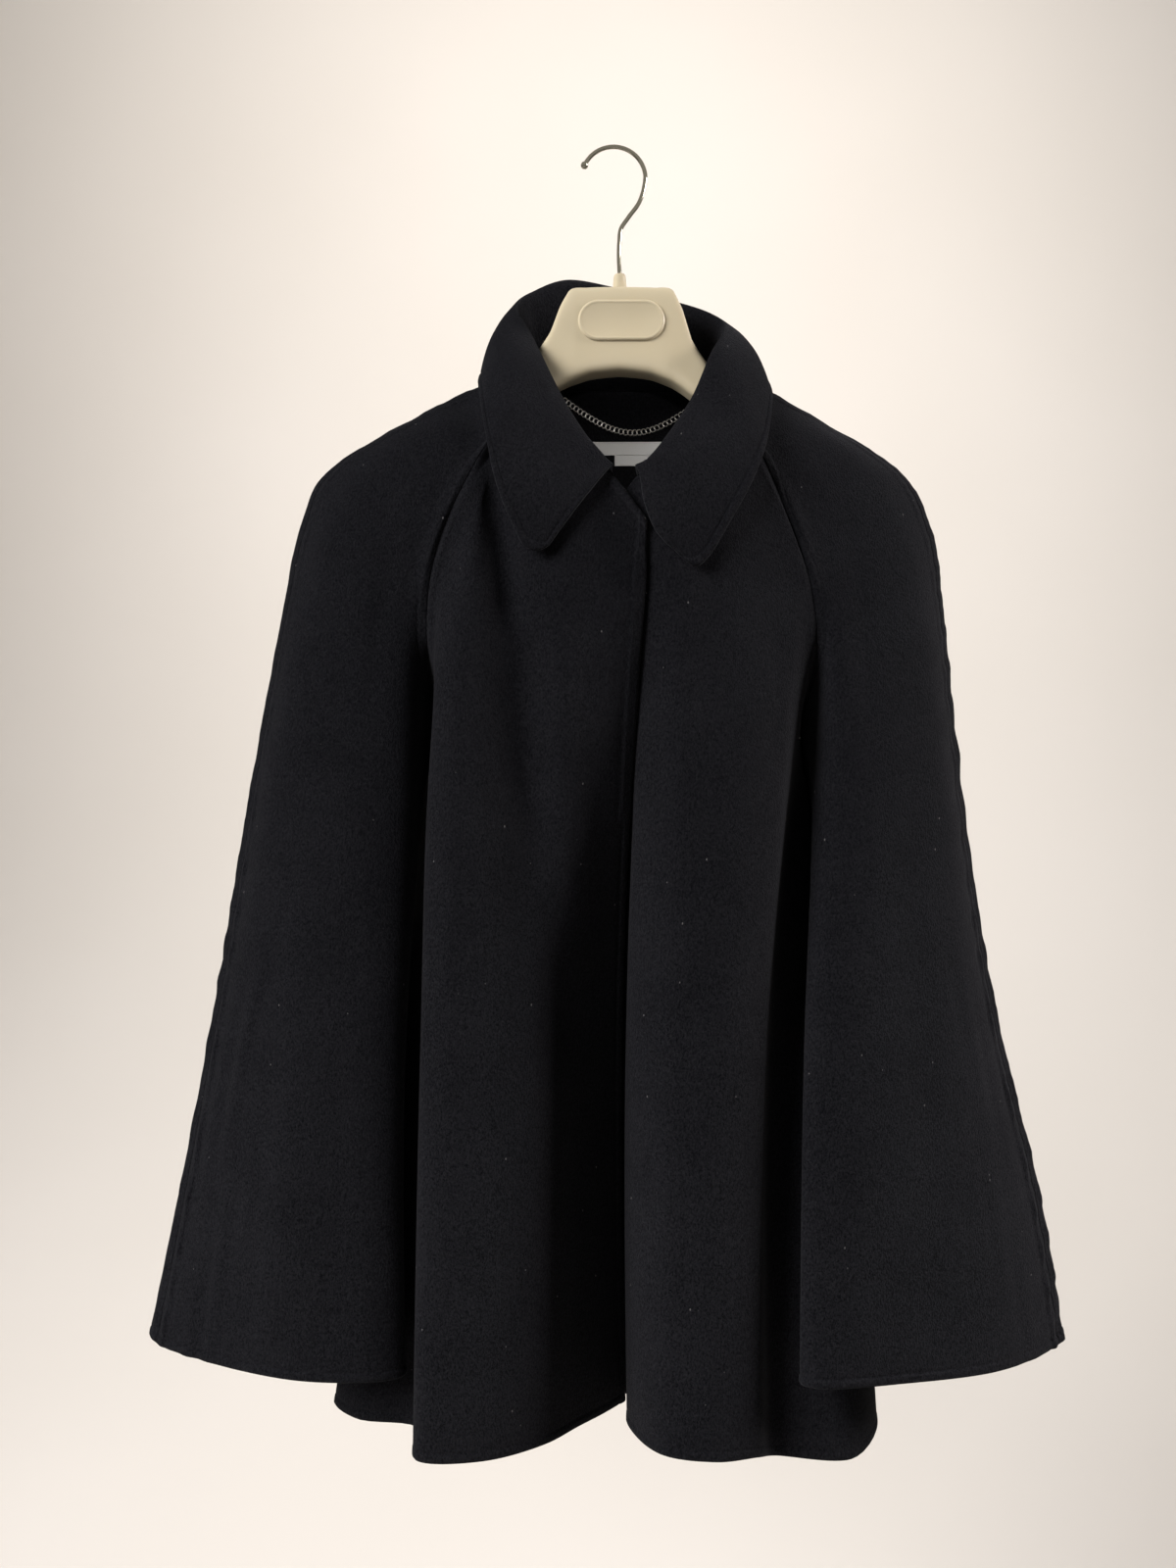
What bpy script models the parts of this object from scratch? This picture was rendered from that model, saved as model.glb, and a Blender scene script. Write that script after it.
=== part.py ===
"""A cape-style wool jacket on its hanger, as closed solids, in metres with +Z up.

The origin is the inner top of the hanger's hook, where a rail carries it. +X is the
wearer's left, and the front faces -Y. Every size below is in millimetres.

Each cloth piece is one wall. Its surface is drawn through lines that run down the
cloth, from the neck to the hem: seams, edges, and the crests and hollows of folds.
Two pieces that are sewn together share the line of their seam.
"""

import math

import bmesh
import bpy
import numpy as np

MM = 0.001

# Cloth and seams
CLOTH = 2.4
SEAM_GAP = 0.3
UNDERARM_GAP = 0.8
LABEL = 0.8

# Heights that the lines pass through, as shares of the way from neck to hem
LEVELS = {
    "neck": 0.0,
    "slope": 0.065,
    "cap": 0.13,
    "delt": 0.19,
    "chest": 0.26,
    "yoke": 0.30,
    "arm": 0.36,
    "pit": 0.40,
    "rib": 0.45,
    "waist": 0.66,
    "knee": 0.82,
    "hem": 1.0,
}
LEVEL_Z = {
    "chest": -320, "yoke": -352, "arm": -400, "pit": -428, "rib": -463, "waist": -610,
    "knee": -721,
}
ROWS = np.array(
    [0, 0.03, 0.065, 0.09, 0.11, 0.13, 0.15, 0.17, 0.19, 0.225, 0.26, 0.30, 0.33]
    + [0.36, 0.40, 0.45, 0.52, 0.59, 0.66, 0.74, 0.82, 0.91, 1.0]
)
ARM_ROW = int(np.argmin(abs(ROWS - LEVELS["arm"])))

# The underarm points, where four pieces meet
UNDERARM_RIGHT = (-125, 15)
UNDERARM_LEFT = (127, 15)

# Seams above the underarm. Where a level gives two numbers, its height is LEVEL_Z's.
UPPER_SEAMS = {
    "raglan_front_right": dict(
        neck=(-62, -36, -196), cap=(-95.5, -41, -231), delt=(-115, -42, -272),
        chest=(-126.5, -42, -320), yoke=(-127.5, -36), arm=UNDERARM_RIGHT,
    ),
    "raglan_back_right": dict(
        neck=(-66, 34, -160), cap=(-99, 43, -218), delt=(-114, 45, -268),
        chest=(-125, 44, -320), arm=UNDERARM_RIGHT,
    ),
    "raglan_front_left": dict(
        neck=(70, -36, -199), cap=(97.5, -41, -231), delt=(115, -42, -275),
        chest=(129, -42, -320), yoke=(132, -37), arm=UNDERARM_LEFT,
    ),
    "raglan_back_left": dict(
        neck=(76, 34, -162), cap=(104, 43, -218), delt=(118, 45, -268),
        chest=(127, 44, -320), arm=UNDERARM_LEFT,
    ),
}

# Seams below the underarm
LOWER_SEAMS = {
    "side_right": dict(
        arm=UNDERARM_RIGHT, pit=(-127.5, 15), rib=(-135.5, 15), waist=(-161, 13),
        hem=(-198, 8, -876),
    ),
    "side_left": dict(
        arm=UNDERARM_LEFT, pit=(130, 15), rib=(136, 14), waist=(158, 3),
        hem=(178, -10, -881),
    ),
    "underarm_right": dict(
        arm=UNDERARM_RIGHT, pit=(-131, 10), rib=(-138, -4), waist=(-146, -28),
        hem=(-143, -44, -828),
    ),
    "underarm_left": dict(
        arm=UNDERARM_LEFT, pit=(132.3, 6), rib=(134, -15), waist=(125, -48),
        hem=(119, -62, -828),
    ),
}

# Lines that run all the way: the front edges, the overarm seams and the folds.
FRONT_RIGHT = {
    "edge": dict(
        neck=(18, -57, -271), cap=(17.5, -57, -292), chest=(17, -56),
        arm=(11.5, -50), waist=(4, -10), hem=(6, 3, -873),
    ),
    "hollow": dict(
        neck=(-4, -52, -241), cap=(0, -57, -276), chest=(2, -58.5),
        arm=(-3, -56), waist=(-9, -19.5), hem=(-10, -14, -874),
    ),
    "lobe": dict(
        neck=(-34, -47, -216), cap=(-33, -57, -262), chest=(-36, -61),
        arm=(-34, -63), rib=(-33, -59), waist=(-28, -36), hem=(-26, -31, -874),
    ),
    "furrow": dict(
        neck=(-52, -41, -203.5), cap=(-81, -45, -247.5), chest=(-69, -54),
        arm=(-62, -54.5), rib=(-59, -55), waist=(-56, -63.5), hem=(-49, -54, -875),
    ),
    "crest": dict(
        neck=(-56, -39.2, -200.8), cap=(-86, -45.7, -242), chest=(-97, -59),
        arm=(-97, -64), waist=(-86, -72), hem=(-88, -75, -875),
    ),
    "limb": dict(
        neck=(-58.5, -38.2, -199), cap=(-89, -45.2, -239), chest=(-115, -50),
        arm=(-120.5, -54), waist=(-127, -62), hem=(-130, -74, -875),
    ),
    "tuck": dict(
        neck=(-60, -37.2, -197.8), cap=(-91.3, -44.5, -236.8), chest=(-120.5, -45),
        yoke=(-122.5, -42.5), arm=(-122.5, -28), rib=(-127, -29), waist=(-130, -24),
        hem=(-136, -28, -876),
    ),
    "side_lobe": dict(
        neck=(-61, -36.6, -197), cap=(-93.5, -43, -234), chest=(-124, -43.7),
        yoke=(-125.3, -39.5), arm=(-123.7, -6), rib=(-131, -7), waist=(-150, -5),
        hem=(-178, -15, -877),
    ),
}
FRONT_LEFT = {
    "edge": dict(
        neck=(-10, -48, -271), cap=(-11, -49, -292), chest=(-12, -49.5),
        arm=(-13, -45), waist=(-13, -13), hem=(-10, 11, -872),
    ),
    "under": dict(
        neck=(12, -50, -241), cap=(12, -50, -278), chest=(11, -50),
        arm=(9, -45.5), waist=(9, -4), hem=(10, 9, -872),
    ),
    "limb": dict(
        neck=(18, -50.5, -236), cap=(20, -54, -272), chest=(23, -55),
        arm=(15, -51), waist=(5.5, -38), hem=(6, -28, -874),
    ),
    "crest": dict(
        neck=(30, -49.5, -227), cap=(36, -57, -266), chest=(42, -60),
        arm=(38, -64), waist=(28, -67), hem=(26, -66, -875),
    ),
    "lobe": dict(
        neck=(50, -44.5, -213), cap=(62, -55, -256), chest=(74, -59),
        arm=(74, -66), waist=(66, -74), hem=(62, -76, -875),
    ),
    "far_limb": dict(
        neck=(64, -39.5, -203.5), cap=(85, -47, -242), chest=(113, -48),
        arm=(109, -55), waist=(93, -63), hem=(89, -68, -876),
    ),
    "recess": dict(
        neck=(67.5, -37.6, -201), cap=(92, -44, -236), chest=(123, -45),
        yoke=(125, -43), arm=(122, -30), waist=(102, -41), hem=(102, -50, -884),
    ),
    "side_lobe": dict(
        neck=(69, -36.6, -199.6), cap=(95, -43, -233.5), chest=(126.3, -43.7),
        yoke=(129, -40.5), arm=(125.8, -8), rib=(129.5, -12), waist=(137, -25), hem=(154, -48, -887),
    ),
}
SLEEVE_RIGHT_FRONT = {
    "tuck": dict(
        neck=(-63, -35, -195), cap=(-99, -40.5, -230), chest=(-130.5, -42.5),
        yoke=(-130.5, -37), arm=(-129.5, -16), rib=(-133, -25), waist=(-140.5, -43), hem=(-139.5, -58, -828),
    ),
    "limb": dict(
        neck=(-65, -33, -192.5), cap=(-106, -38.5, -229), chest=(-139, -42),
        arm=(-138, -43), waist=(-146, -54), hem=(-152, -66, -828),
    ),
    "crest": dict(
        neck=(-70, -28, -186.5), cap=(-132, -34, -229), chest=(-167, -41),
        arm=(-172, -47), waist=(-188, -61), hem=(-205, -66, -828),
    ),
    "outer": dict(
        neck=(-78, -16, -174), cap=(-172, -25, -231), chest=(-206, -30),
        arm=(-222, -33), waist=(-246, -40), hem=(-270, -42, -827),
    ),
}
SLEEVE_LEFT_FRONT = {
    "tuck": dict(
        neck=(71, -35, -198), cap=(101, -40.5, -230), chest=(132.5, -42.5),
        yoke=(135, -39), arm=(133, -25), rib=(129.5, -35), waist=(120.5, -57), hem=(115.5, -70, -828),
    ),
    "limb": dict(
        neck=(73, -33, -195), cap=(108, -38.5, -229), chest=(139, -43),
        arm=(139, -44), waist=(128, -65), hem=(126, -77, -828),
    ),
    "crest": dict(
        neck=(78, -28, -188), cap=(133, -34, -229), chest=(166, -41),
        arm=(168, -48), waist=(175, -66), hem=(180, -70, -828),
    ),
    "outer": dict(
        neck=(86, -16, -176), cap=(170, -25, -231), chest=(202, -30),
        arm=(212, -33), waist=(232, -41), hem=(252, -50, -828),
    ),
}
OVERARM_RIGHT = dict(
    neck=(-84, -6, -165), slope=(-137, -8, -190.5), cap=(-198, -9, -230),
    delt=(-215.5, -9, -270), chest=(-226.5, -9, -320), arm=(-241, -10, -400),
    waist=(-276, -11, -610), hem=(-316, -13, -826),
)
OVERARM_LEFT = dict(
    neck=(92, -6, -167), slope=(132, -8, -189.5), cap=(193, -9, -230),
    delt=(213, -9, -270), chest=(221, -9, -320), arm=(229, -10, -400),
    waist=(259, -11, -610), knee=(285, -12, -721), hem=(301, -15, -826),
)
SLEEVE_RIGHT_BACK = {
    "outline": dict(
        neck=(-85, 2, -162.5), slope=(-137, 1, -188.5), cap=(-201.5, 0, -228),
        delt=(-220.5, 0, -268), chest=(-231, 0, -320), arm=(-246, 0, -400),
        waist=(-281.5, 0, -610), hem=(-324, 0, -824),
    ),
    "outer": dict(
        neck=(-81, 14, -161), slope=(-130, 19, -191), cap=(-187, 22, -231),
        delt=(-205, 26, -272), chest=(-214, 28, -320), arm=(-226, 31, -400),
        waist=(-254, 36, -610), hem=(-292, 31, -826),
    ),
    "crest": dict(
        neck=(-74, 25, -160.5), cap=(-138, 37, -223), chest=(-168, 42),
        arm=(-176, 46), waist=(-206, 42), hem=(-240, 31, -828),
    ),
    "inner": dict(
        neck=(-68.5, 31.5, -160), cap=(-107, 42, -219), chest=(-137, 43),
        arm=(-138, 39), rib=(-149, 36), waist=(-180, 8), hem=(-203, -8, -828),
    ),
    "tuck": dict(
        neck=(-67, 33, -160), cap=(-102, 42.7, -218), chest=(-130, 43.5),
        arm=(-130, 30), pit=(-134, 27), rib=(-140, 22), waist=(-161, -19), hem=(-166, -29, -828),
    ),
}
SLEEVE_LEFT_BACK = {
    "outline": dict(
        neck=(93, 2, -165), slope=(133, 1, -187.5), cap=(196.5, 0, -228),
        delt=(218, 0, -268), chest=(225.5, 0, -320), arm=(233.5, 0, -400),
        waist=(264.5, 0, -610), knee=(291.5, 0, -721), hem=(308, 0, -824),
    ),
    "outer": dict(
        neck=(89, 14, -163), slope=(127, 19, -190), cap=(183, 22, -231),
        delt=(202, 26, -272), chest=(210, 28, -320), arm=(217, 31, -400),
        waist=(238, 36, -610), hem=(276, 31, -826),
    ),
    "crest": dict(
        neck=(82, 25, -162), cap=(137, 37, -223), chest=(166, 42),
        arm=(170, 46), waist=(192, 40), hem=(228, 30, -828),
    ),
    "inner": dict(
        neck=(78, 31.5, -162), cap=(112, 42, -219), chest=(139, 43),
        arm=(139, 39), rib=(149, 36), waist=(176, -2), hem=(188, -26, -828),
    ),
    "tuck": dict(
        neck=(77, 33, -162), cap=(107, 42.7, -218), chest=(132, 43.5),
        arm=(131.5, 30), pit=(134.5, 27), rib=(139, 21), waist=(151, -39), hem=(153, -60, -828),
    ),
}
BACK = {
    "side_lobe_right": dict(
        neck=(-64, 35, -160), cap=(-96, 44, -218), chest=(-121, 46),
        arm=(-124, 37), pit=(-134.5, 40), rib=(-142, 40), waist=(-157, 36), hem=(-182, 36, -877),
    ),
    "crest_right": dict(
        neck=(-50, 40, -159), cap=(-72, 49, -216), chest=(-88, 54),
        arm=(-92, 59), waist=(-104, 70), hem=(-118, 80, -875),
    ),
    "hollow_right": dict(
        neck=(-22, 45, -158), cap=(-32, 50, -215), chest=(-40, 53),
        arm=(-42, 53), waist=(-48, 50), hem=(-54, 46, -874),
    ),
    "crest_middle": dict(
        neck=(6, 47, -158), cap=(6, 50, -215), chest=(6, 55),
        arm=(6, 60), waist=(8, 70), hem=(8, 78, -875),
    ),
    "hollow_left": dict(
        neck=(34, 45, -159), cap=(42, 50, -215), chest=(48, 53),
        arm=(50, 53), waist=(56, 50), hem=(60, 46, -874),
    ),
    "crest_left": dict(
        neck=(60, 40, -160), cap=(80, 49, -216), chest=(94, 54),
        arm=(96, 59), waist=(104, 68), hem=(110, 78, -875),
    ),
    "side_lobe_left": dict(
        neck=(74, 35, -162), cap=(102, 44, -218), chest=(123, 46),
        arm=(127, 38), pit=(138, 40), rib=(144.5, 39), waist=(155, 30), hem=(168, 26, -880),
    ),
}

# How many steps the grid takes from each line to the next, seams and edges included
FRONT_RIGHT_STEPS = (2, 2, 2, 2, 2, 2, 1, 1)
FRONT_LEFT_STEPS = (1, 1, 2, 3, 3, 2, 2, 1)
SLEEVE_FRONT_STEPS = (1, 2, 3, 3, 2)
SLEEVE_BACK_STEPS = (1, 3, 3, 3, 2, 1)
BACK_STEPS = (1, 2, 3, 3, 3, 3, 2, 1)

# The collar, round the neck from its right front end to its left. Its share is the way
# along the neck seam; the roll line is the top of the fold, and the edge is its outline.
COLLAR = (
    # share, roll, edge
    (0.000, (-4, -56.0, -235), (-45, -65, -289.5)),
    (0.025, (-8, -55.0, -231), (-53, -65.5, -293)),
    (0.050, (-12, -53.5, -226), (-60.5, -65.5, -290.5)),
    (0.100, (-22, -48.0, -213), (-69, -65, -276)),
    (0.170, (-37, -37.0, -186), (-78, -62, -254)),
    (0.250, (-52, -22.0, -152), (-87, -53, -218)),
    (0.310, (-61, -6.0, -130), (-94, -28, -180)),
    (0.365, (-70, 10.0, -109), (-96, 3, -163)),
    (0.420, (-61, 27.0, -92), (-90, 38, -160)),
    (0.460, (-35, 35.0, -80), (-48, 58, -165)),
    (0.500, (2, 38.0, -85), (8, 65, -170)),
    (0.540, (32, 35.0, -93), (60, 57, -167)),
    (0.580, (57, 27.0, -103), (96, 38, -164)),
    (0.635, (73, 10.0, -118), (103, 3, -166)),
    (0.690, (73, -6.0, -131), (104, -28, -182)),
    (0.750, (63, -22.0, -151), (98.5, -49, -213)),
    (0.830, (48, -37.0, -187), (88, -61, -243)),
    (0.900, (30, -48.5, -216), (73, -65, -271)),
    (0.950, (21, -54.0, -228), (57, -66.5, -297.5)),
    (0.975, (17, -55.5, -232), (50, -67, -303)),
    (1.000, (10.5, -56.5, -235.5), (41.5, -66.5, -299.5)),
)
ROLL_RADIUS_FRONT = 3.5
ROLL_RADIUS_BACK = 6.5
LEAF_BULGE = 2.5
LEFT_END_BOW = 9.0
LEFT_END_SHARE = 0.05
COLLAR_GAP = 0.5
COLLAR_SPACING = 0.014
ROLL_SPREAD = 0.7
COLLAR_STEPS = (1, 1, 2, 2, 1, 2, 2)

# The hanger, by stations along X. Its plate shows over the collar. Under the shoulders
# the cloth rests on the arms, so their ridge is given by how far it lies below the fold.
PLATE = (
    # x, ridge, tall, half_depth
    (-72, -166, 26, 10),
    (-64, -160, 27, 11),
    (-56, -146, 33, 12),
    (-46, -131, 42, 12),
    (-39.5, -114, 55, 12),
    (-33, -103, 63, 12),
    (-20, -101.5, 60, 12),
    (2, -101, 58, 12),
    (24, -101.5, 60, 12),
    (38, -103, 64, 12),
    (44.5, -116, 55, 12),
    (51, -137, 39, 12),
    (61, -151.5, 31, 12),
    (69, -161, 27, 11),
    (78, -168, 26, 10),
)
ARM_RIGHT = (
    # x, below_fold, tall, half_depth
    (-203.5, 3.0, 9, 2.5),
    (-200.5, 1.6, 19, 5.5),
    (-193, 1.1, 31, 9.5),
    (-160, 1.1, 38, 14),
    (-125, 1.1, 37, 14),
    (-92, 1.1, 31, 12),
)
ARM_LEFT = (
    (96, 1.1, 31, 12),
    (122, 1.1, 37, 14),
    (155, 1.1, 38, 14),
    (188, 1.1, 31, 9.5),
    (196, 1.6, 19, 5.5),
    (199, 3.0, 9, 2.5),
)
HANGER_SIDES = 20
ARM_BACK = 2
PLATE_MIDDLE = 2
PLATE_HALF = 55
PLATE_BLEND = 12
PLATE_POWER = 0.32
PLATE_DEPTH = 12
BADGE_WIDTH = 59.5
BADGE_HEIGHT = 28
BADGE_CENTRE = (2.5, -126)
BADGE_RAISED = 1.6
BADGE_RIM = 1.0
BOSS_TOP = -90
BOSS_BOTTOM = -100.2
BOSS_RADII = (5.5, 3.6)
HOOK_X = 1.6
WIRE = 3.0
BALL = 5.2
HOOK_ARC_CENTRE = (-2.7, -23.5)
HOOK_ARC_RADIUS = 22.2
HOOK_ARC_ENDS = (155, 8)
HOOK_NECK = ((18.6, -29), (15, -40), (7.5, -50.5), (2.4, -58.5), (1.3, -68), (1.6, -89.7))

# Neck chain and labels, on the inside of the back
CHAIN_ENDS = ((-37, -166), (61, -167))
CHAIN_LOW = (12, -188)
CHAIN_LINKS = 30
CHAIN_WIDTH = 4.6
CHAIN_WAIST = 3.2
CHAIN_FLAT = 0.45
LABELS = {
    # x from, x to, z from, z to, layers from the cloth
    "label_main": (-20, 46, -204, -194.4, 1),
    "label_small": (-1, 29, -211.5, -202.5, 0),
}


def clear_scene():
    for old in list(bpy.data.objects):
        bpy.data.objects.remove(old)


def unit(v):
    return v / np.maximum(np.linalg.norm(v, axis=-1, keepdims=True), 1e-12)


def through(ts, points, at):
    """A smooth curve through points given at the parameters ts, read at others."""
    ts = np.asarray(ts, float)
    points = np.asarray(points, float)
    slope = np.diff(points, axis=0) / np.diff(ts)[:, None]
    if len(ts) == 2:
        tangent = np.array([slope[0], slope[0]])
    else:
        gap = np.diff(ts)[:, None]
        inner = (slope[:-1] * gap[1:] + slope[1:] * gap[:-1]) / (gap[1:] + gap[:-1])
        first = 1.5 * slope[0] - 0.5 * inner[0]
        last = 1.5 * slope[-1] - 0.5 * inner[-1]
        tangent = np.vstack([first, inner, last])
    at = np.asarray(at, float)
    i = np.clip(np.searchsorted(ts, at, side="right") - 1, 0, len(ts) - 2)
    h = (ts[i + 1] - ts[i])[:, None]
    u = ((at - ts[i]) / (ts[i + 1] - ts[i]))[:, None]
    return (
        (2 * u**3 - 3 * u**2 + 1) * points[i]
        + (u**3 - 2 * u**2 + u) * h * tangent[i]
        + (3 * u**2 - 2 * u**3) * points[i + 1]
        + (u**3 - u**2) * h * tangent[i + 1]
    )


def line(rows, places):
    """A line down the cloth, from its places at named levels."""
    names = [name for name in LEVELS if name in places]
    points = [
        (*places[name], LEVEL_Z[name]) if len(places[name]) == 2 else places[name]
        for name in names
    ]
    return through([LEVELS[name] for name in names], points, rows)


def seam(upper, lower):
    """An upper seam down to the underarm and a lower seam from there to the hem."""
    above = line(ROWS[: ARM_ROW + 1], UPPER_SEAMS[upper])
    below = line(ROWS[ARM_ROW:], LOWER_SEAMS[lower])
    return np.vstack([above, below[1:]])


def lines_of(table):
    return [line(ROWS, places) for places in table.values()]


def joined(above, below):
    """One line above the underarm and another below it, for a neighbour that changes."""
    return np.vstack([above[: ARM_ROW + 1], below[ARM_ROW + 1 :]])


def beyond(edge, inside):
    """The line that would follow a free edge, for the grid's slope there."""
    return 2 * edge - inside


def across(lines, steps, before, after):
    """A grid of points through the lines, and the slope across it, row by row."""
    chain = np.array([before, *lines, after])
    grid, slope = [], []
    for row in range(chain.shape[1]):
        points = chain[:, row]
        gaps = np.linalg.norm(np.diff(points, axis=0), axis=1) ** 0.5
        ts = np.concatenate([[0], np.cumsum(np.maximum(gaps, 0.2))])
        at = [
            ts[k + 1] + (ts[k + 2] - ts[k + 1]) * j / steps[k]
            for k in range(len(lines) - 1)
            for j in range(steps[k])
        ] + [ts[-2]]
        at = np.array(at)
        grid.append(through(ts, points, at))
        near = 1e-4 * ts[-1]
        slope.append(through(ts, points, at + near) - through(ts, points, at - near))
    return np.array(grid), unit(np.array(slope))


def down(grid, split_columns=()):
    """The slope down the grid. At the underarm point only the rows above count."""
    slope = np.empty_like(grid)
    slope[1:-1] = grid[2:] - grid[:-2]
    slope[0] = grid[1] - grid[0]
    slope[-1] = grid[-1] - grid[-2]
    for column in split_columns:
        slope[ARM_ROW, column] = grid[ARM_ROW, column] - grid[ARM_ROW - 1, column]
    return unit(slope)


def wall_mesh(name, front, back):
    """A closed wall between two grids of points, in metres."""
    rows, columns = front.shape[:2]
    mesh = bpy.data.meshes.new(name)
    build = bmesh.new()
    outer = [[build.verts.new(p * MM) for p in row] for row in front]
    inner = [[build.verts.new(p * MM) for p in row] for row in back]
    for i in range(rows - 1):
        for j in range(columns - 1):
            a, b, c, d = (i, j), (i, j + 1), (i + 1, j + 1), (i + 1, j)
            build.faces.new([outer[r][s] for r, s in (a, b, c, d)])
            build.faces.new([inner[r][s] for r, s in (d, c, b, a)])
    rim = [(0, j) for j in range(columns)]
    rim += [(i, columns - 1) for i in range(1, rows)]
    rim += [(rows - 1, j) for j in range(columns - 2, -1, -1)]
    rim += [(i, 0) for i in range(rows - 2, 0, -1)]
    for (i, j), (k, m) in zip(rim, rim[1:] + rim[:1]):
        build.faces.new([outer[k][m], outer[i][j], inner[i][j], inner[k][m]])
    bmesh.ops.recalc_face_normals(build, faces=build.faces)
    build.to_mesh(mesh)
    build.free()
    return mesh


def finish(name, mesh, colour, roughness, metallic, home):
    """An object in the jacket's collection, with its own material."""
    made = bpy.data.materials.new(name + "_finish")
    made.use_nodes = True
    shader = made.node_tree.nodes["Principled BSDF"]
    shader.inputs["Base Color"].default_value = (*colour, 1)
    shader.inputs["Roughness"].default_value = roughness
    shader.inputs["Metallic"].default_value = metallic
    piece = bpy.data.objects.new(name, mesh)
    mesh.materials.append(made)
    mesh.shade_smooth()
    mesh.set_sharp_from_angle(angle=math.radians(40))
    home.objects.link(piece)
    return piece


BLACK_WOOL = ((0.010, 0.010, 0.012), 0.9, 0)
WOVEN_LABEL = ((0.80, 0.80, 0.78), 0.6, 0)
CREAM_PLASTIC = ((0.71, 0.66, 0.56), 0.35, 0)
CHROME = ((0.62, 0.60, 0.57), 0.12, 1)


class Panel:
    """One cut piece of cloth: its grid of outer points and its inner ones."""

    def __init__(self, lines, steps, before, after, underarms, flip):
        """underarms gives, for each side that has one, which way it faces along X."""
        self.grid, slope = across(lines, steps, before, after)
        normal = unit(np.cross(slope, down(self.grid, underarms)))
        if flip:
            normal = -normal
        for column, facing in underarms.items():
            normal[ARM_ROW, column] = unit(np.array([facing, 0, -1]))
        self.normal = normal
        room = np.full((len(ROWS), 1), SEAM_GAP / 2)
        room[ARM_ROW - 1 : ARM_ROW + 2] = UNDERARM_GAP / 2
        inset = np.zeros_like(self.grid)
        inset[:, 0] = slope[:, 0] * room
        inset[:, -1] = -slope[:, -1] * room
        backwards = np.sign(self.grid[:, :, 1].mean())
        for column, facing in underarms.items():
            away = unit(np.array([-facing, backwards, 0]))
            inset[ARM_ROW, column] = away * UNDERARM_GAP / 2
        self.outer = self.grid + inset
        self.inner = self.outer - normal * CLOTH


def cloth_panels():
    """The seven cut pieces of the shell, each with its neighbours' slopes."""
    front_right = lines_of(FRONT_RIGHT)
    front_left = lines_of(FRONT_LEFT)
    back = lines_of(BACK)
    sleeve_rf, sleeve_rb = lines_of(SLEEVE_RIGHT_FRONT), lines_of(SLEEVE_RIGHT_BACK)
    sleeve_lf, sleeve_lb = lines_of(SLEEVE_LEFT_FRONT), lines_of(SLEEVE_LEFT_BACK)
    overarm_right, overarm_left = line(ROWS, OVERARM_RIGHT), line(ROWS, OVERARM_LEFT)
    body_fr = seam("raglan_front_right", "side_right")
    body_br = seam("raglan_back_right", "side_right")
    body_fl = seam("raglan_front_left", "side_left")
    body_bl = seam("raglan_back_left", "side_left")
    arm_fr = seam("raglan_front_right", "underarm_right")
    arm_br = seam("raglan_back_right", "underarm_right")
    arm_fl = seam("raglan_front_left", "underarm_left")
    arm_bl = seam("raglan_back_left", "underarm_left")
    last = -1
    return {
        "front_right": Panel(
            [*front_right, body_fr], FRONT_RIGHT_STEPS,
            beyond(front_right[0], front_right[1]), joined(sleeve_rf[0], back[0]),
            {last: -1}, False,
        ),
        "front_left": Panel(
            [*front_left, body_fl], FRONT_LEFT_STEPS,
            beyond(front_left[0], front_left[1]), joined(sleeve_lf[0], back[-1]),
            {last: 1}, True,
        ),
        "back": Panel(
            [body_br, *back, body_bl], BACK_STEPS,
            joined(sleeve_rb[-1], front_right[-1]), joined(sleeve_lb[-1], front_left[-1]),
            {0: -1, last: 1}, False,
        ),
        "sleeve_right_front": Panel(
            [arm_fr, *sleeve_rf, overarm_right], SLEEVE_FRONT_STEPS,
            joined(front_right[-1], sleeve_rb[-1]), sleeve_rb[0],
            {0: 1}, False,
        ),
        "sleeve_right_back": Panel(
            [overarm_right, *sleeve_rb, arm_br], SLEEVE_BACK_STEPS,
            sleeve_rf[-1], joined(back[0], sleeve_rf[0]),
            {last: 1}, False,
        ),
        "sleeve_left_front": Panel(
            [arm_fl, *sleeve_lf, overarm_left], SLEEVE_FRONT_STEPS,
            joined(front_left[-1], sleeve_lb[-1]), sleeve_lb[0],
            {0: -1}, True,
        ),
        "sleeve_left_back": Panel(
            [overarm_left, *sleeve_lb, arm_bl], SLEEVE_BACK_STEPS,
            sleeve_lf[-1], joined(back[-1], sleeve_lf[0]),
            {last: -1}, True,
        ),
    }


def neckline(panels):
    """The neck seam from the collar's right end to its left: points, normals, and the
    way that leaves the panels upwards."""
    right, left, back = (panels[n] for n in ("front_right", "front_left", "back"))
    skip_right, skip_left = FRONT_RIGHT_STEPS[0], FRONT_LEFT_STEPS[0]
    parts = [
        (right, range(skip_right, right.grid.shape[1])),
        (panels["sleeve_right_front"], range(1, sum(SLEEVE_FRONT_STEPS) + 1)),
        (panels["sleeve_right_back"], range(1, sum(SLEEVE_BACK_STEPS) + 1)),
        (back, range(1, back.grid.shape[1])),
        (panels["sleeve_left_back"], range(sum(SLEEVE_BACK_STEPS) - 1, -1, -1)),
        (panels["sleeve_left_front"], range(sum(SLEEVE_FRONT_STEPS) - 1, -1, -1)),
        (left, range(left.grid.shape[1] - 2, skip_left - 1, -1)),
    ]
    points, normals, up = [], [], []
    for panel, columns in parts:
        for column in columns:
            points.append(panel.grid[0, column])
            normals.append(panel.normal[0, column])
            up.append(unit(panel.grid[0, column] - panel.grid[1, column]))
    return np.array(points), np.array(normals), np.array(up)


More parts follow.
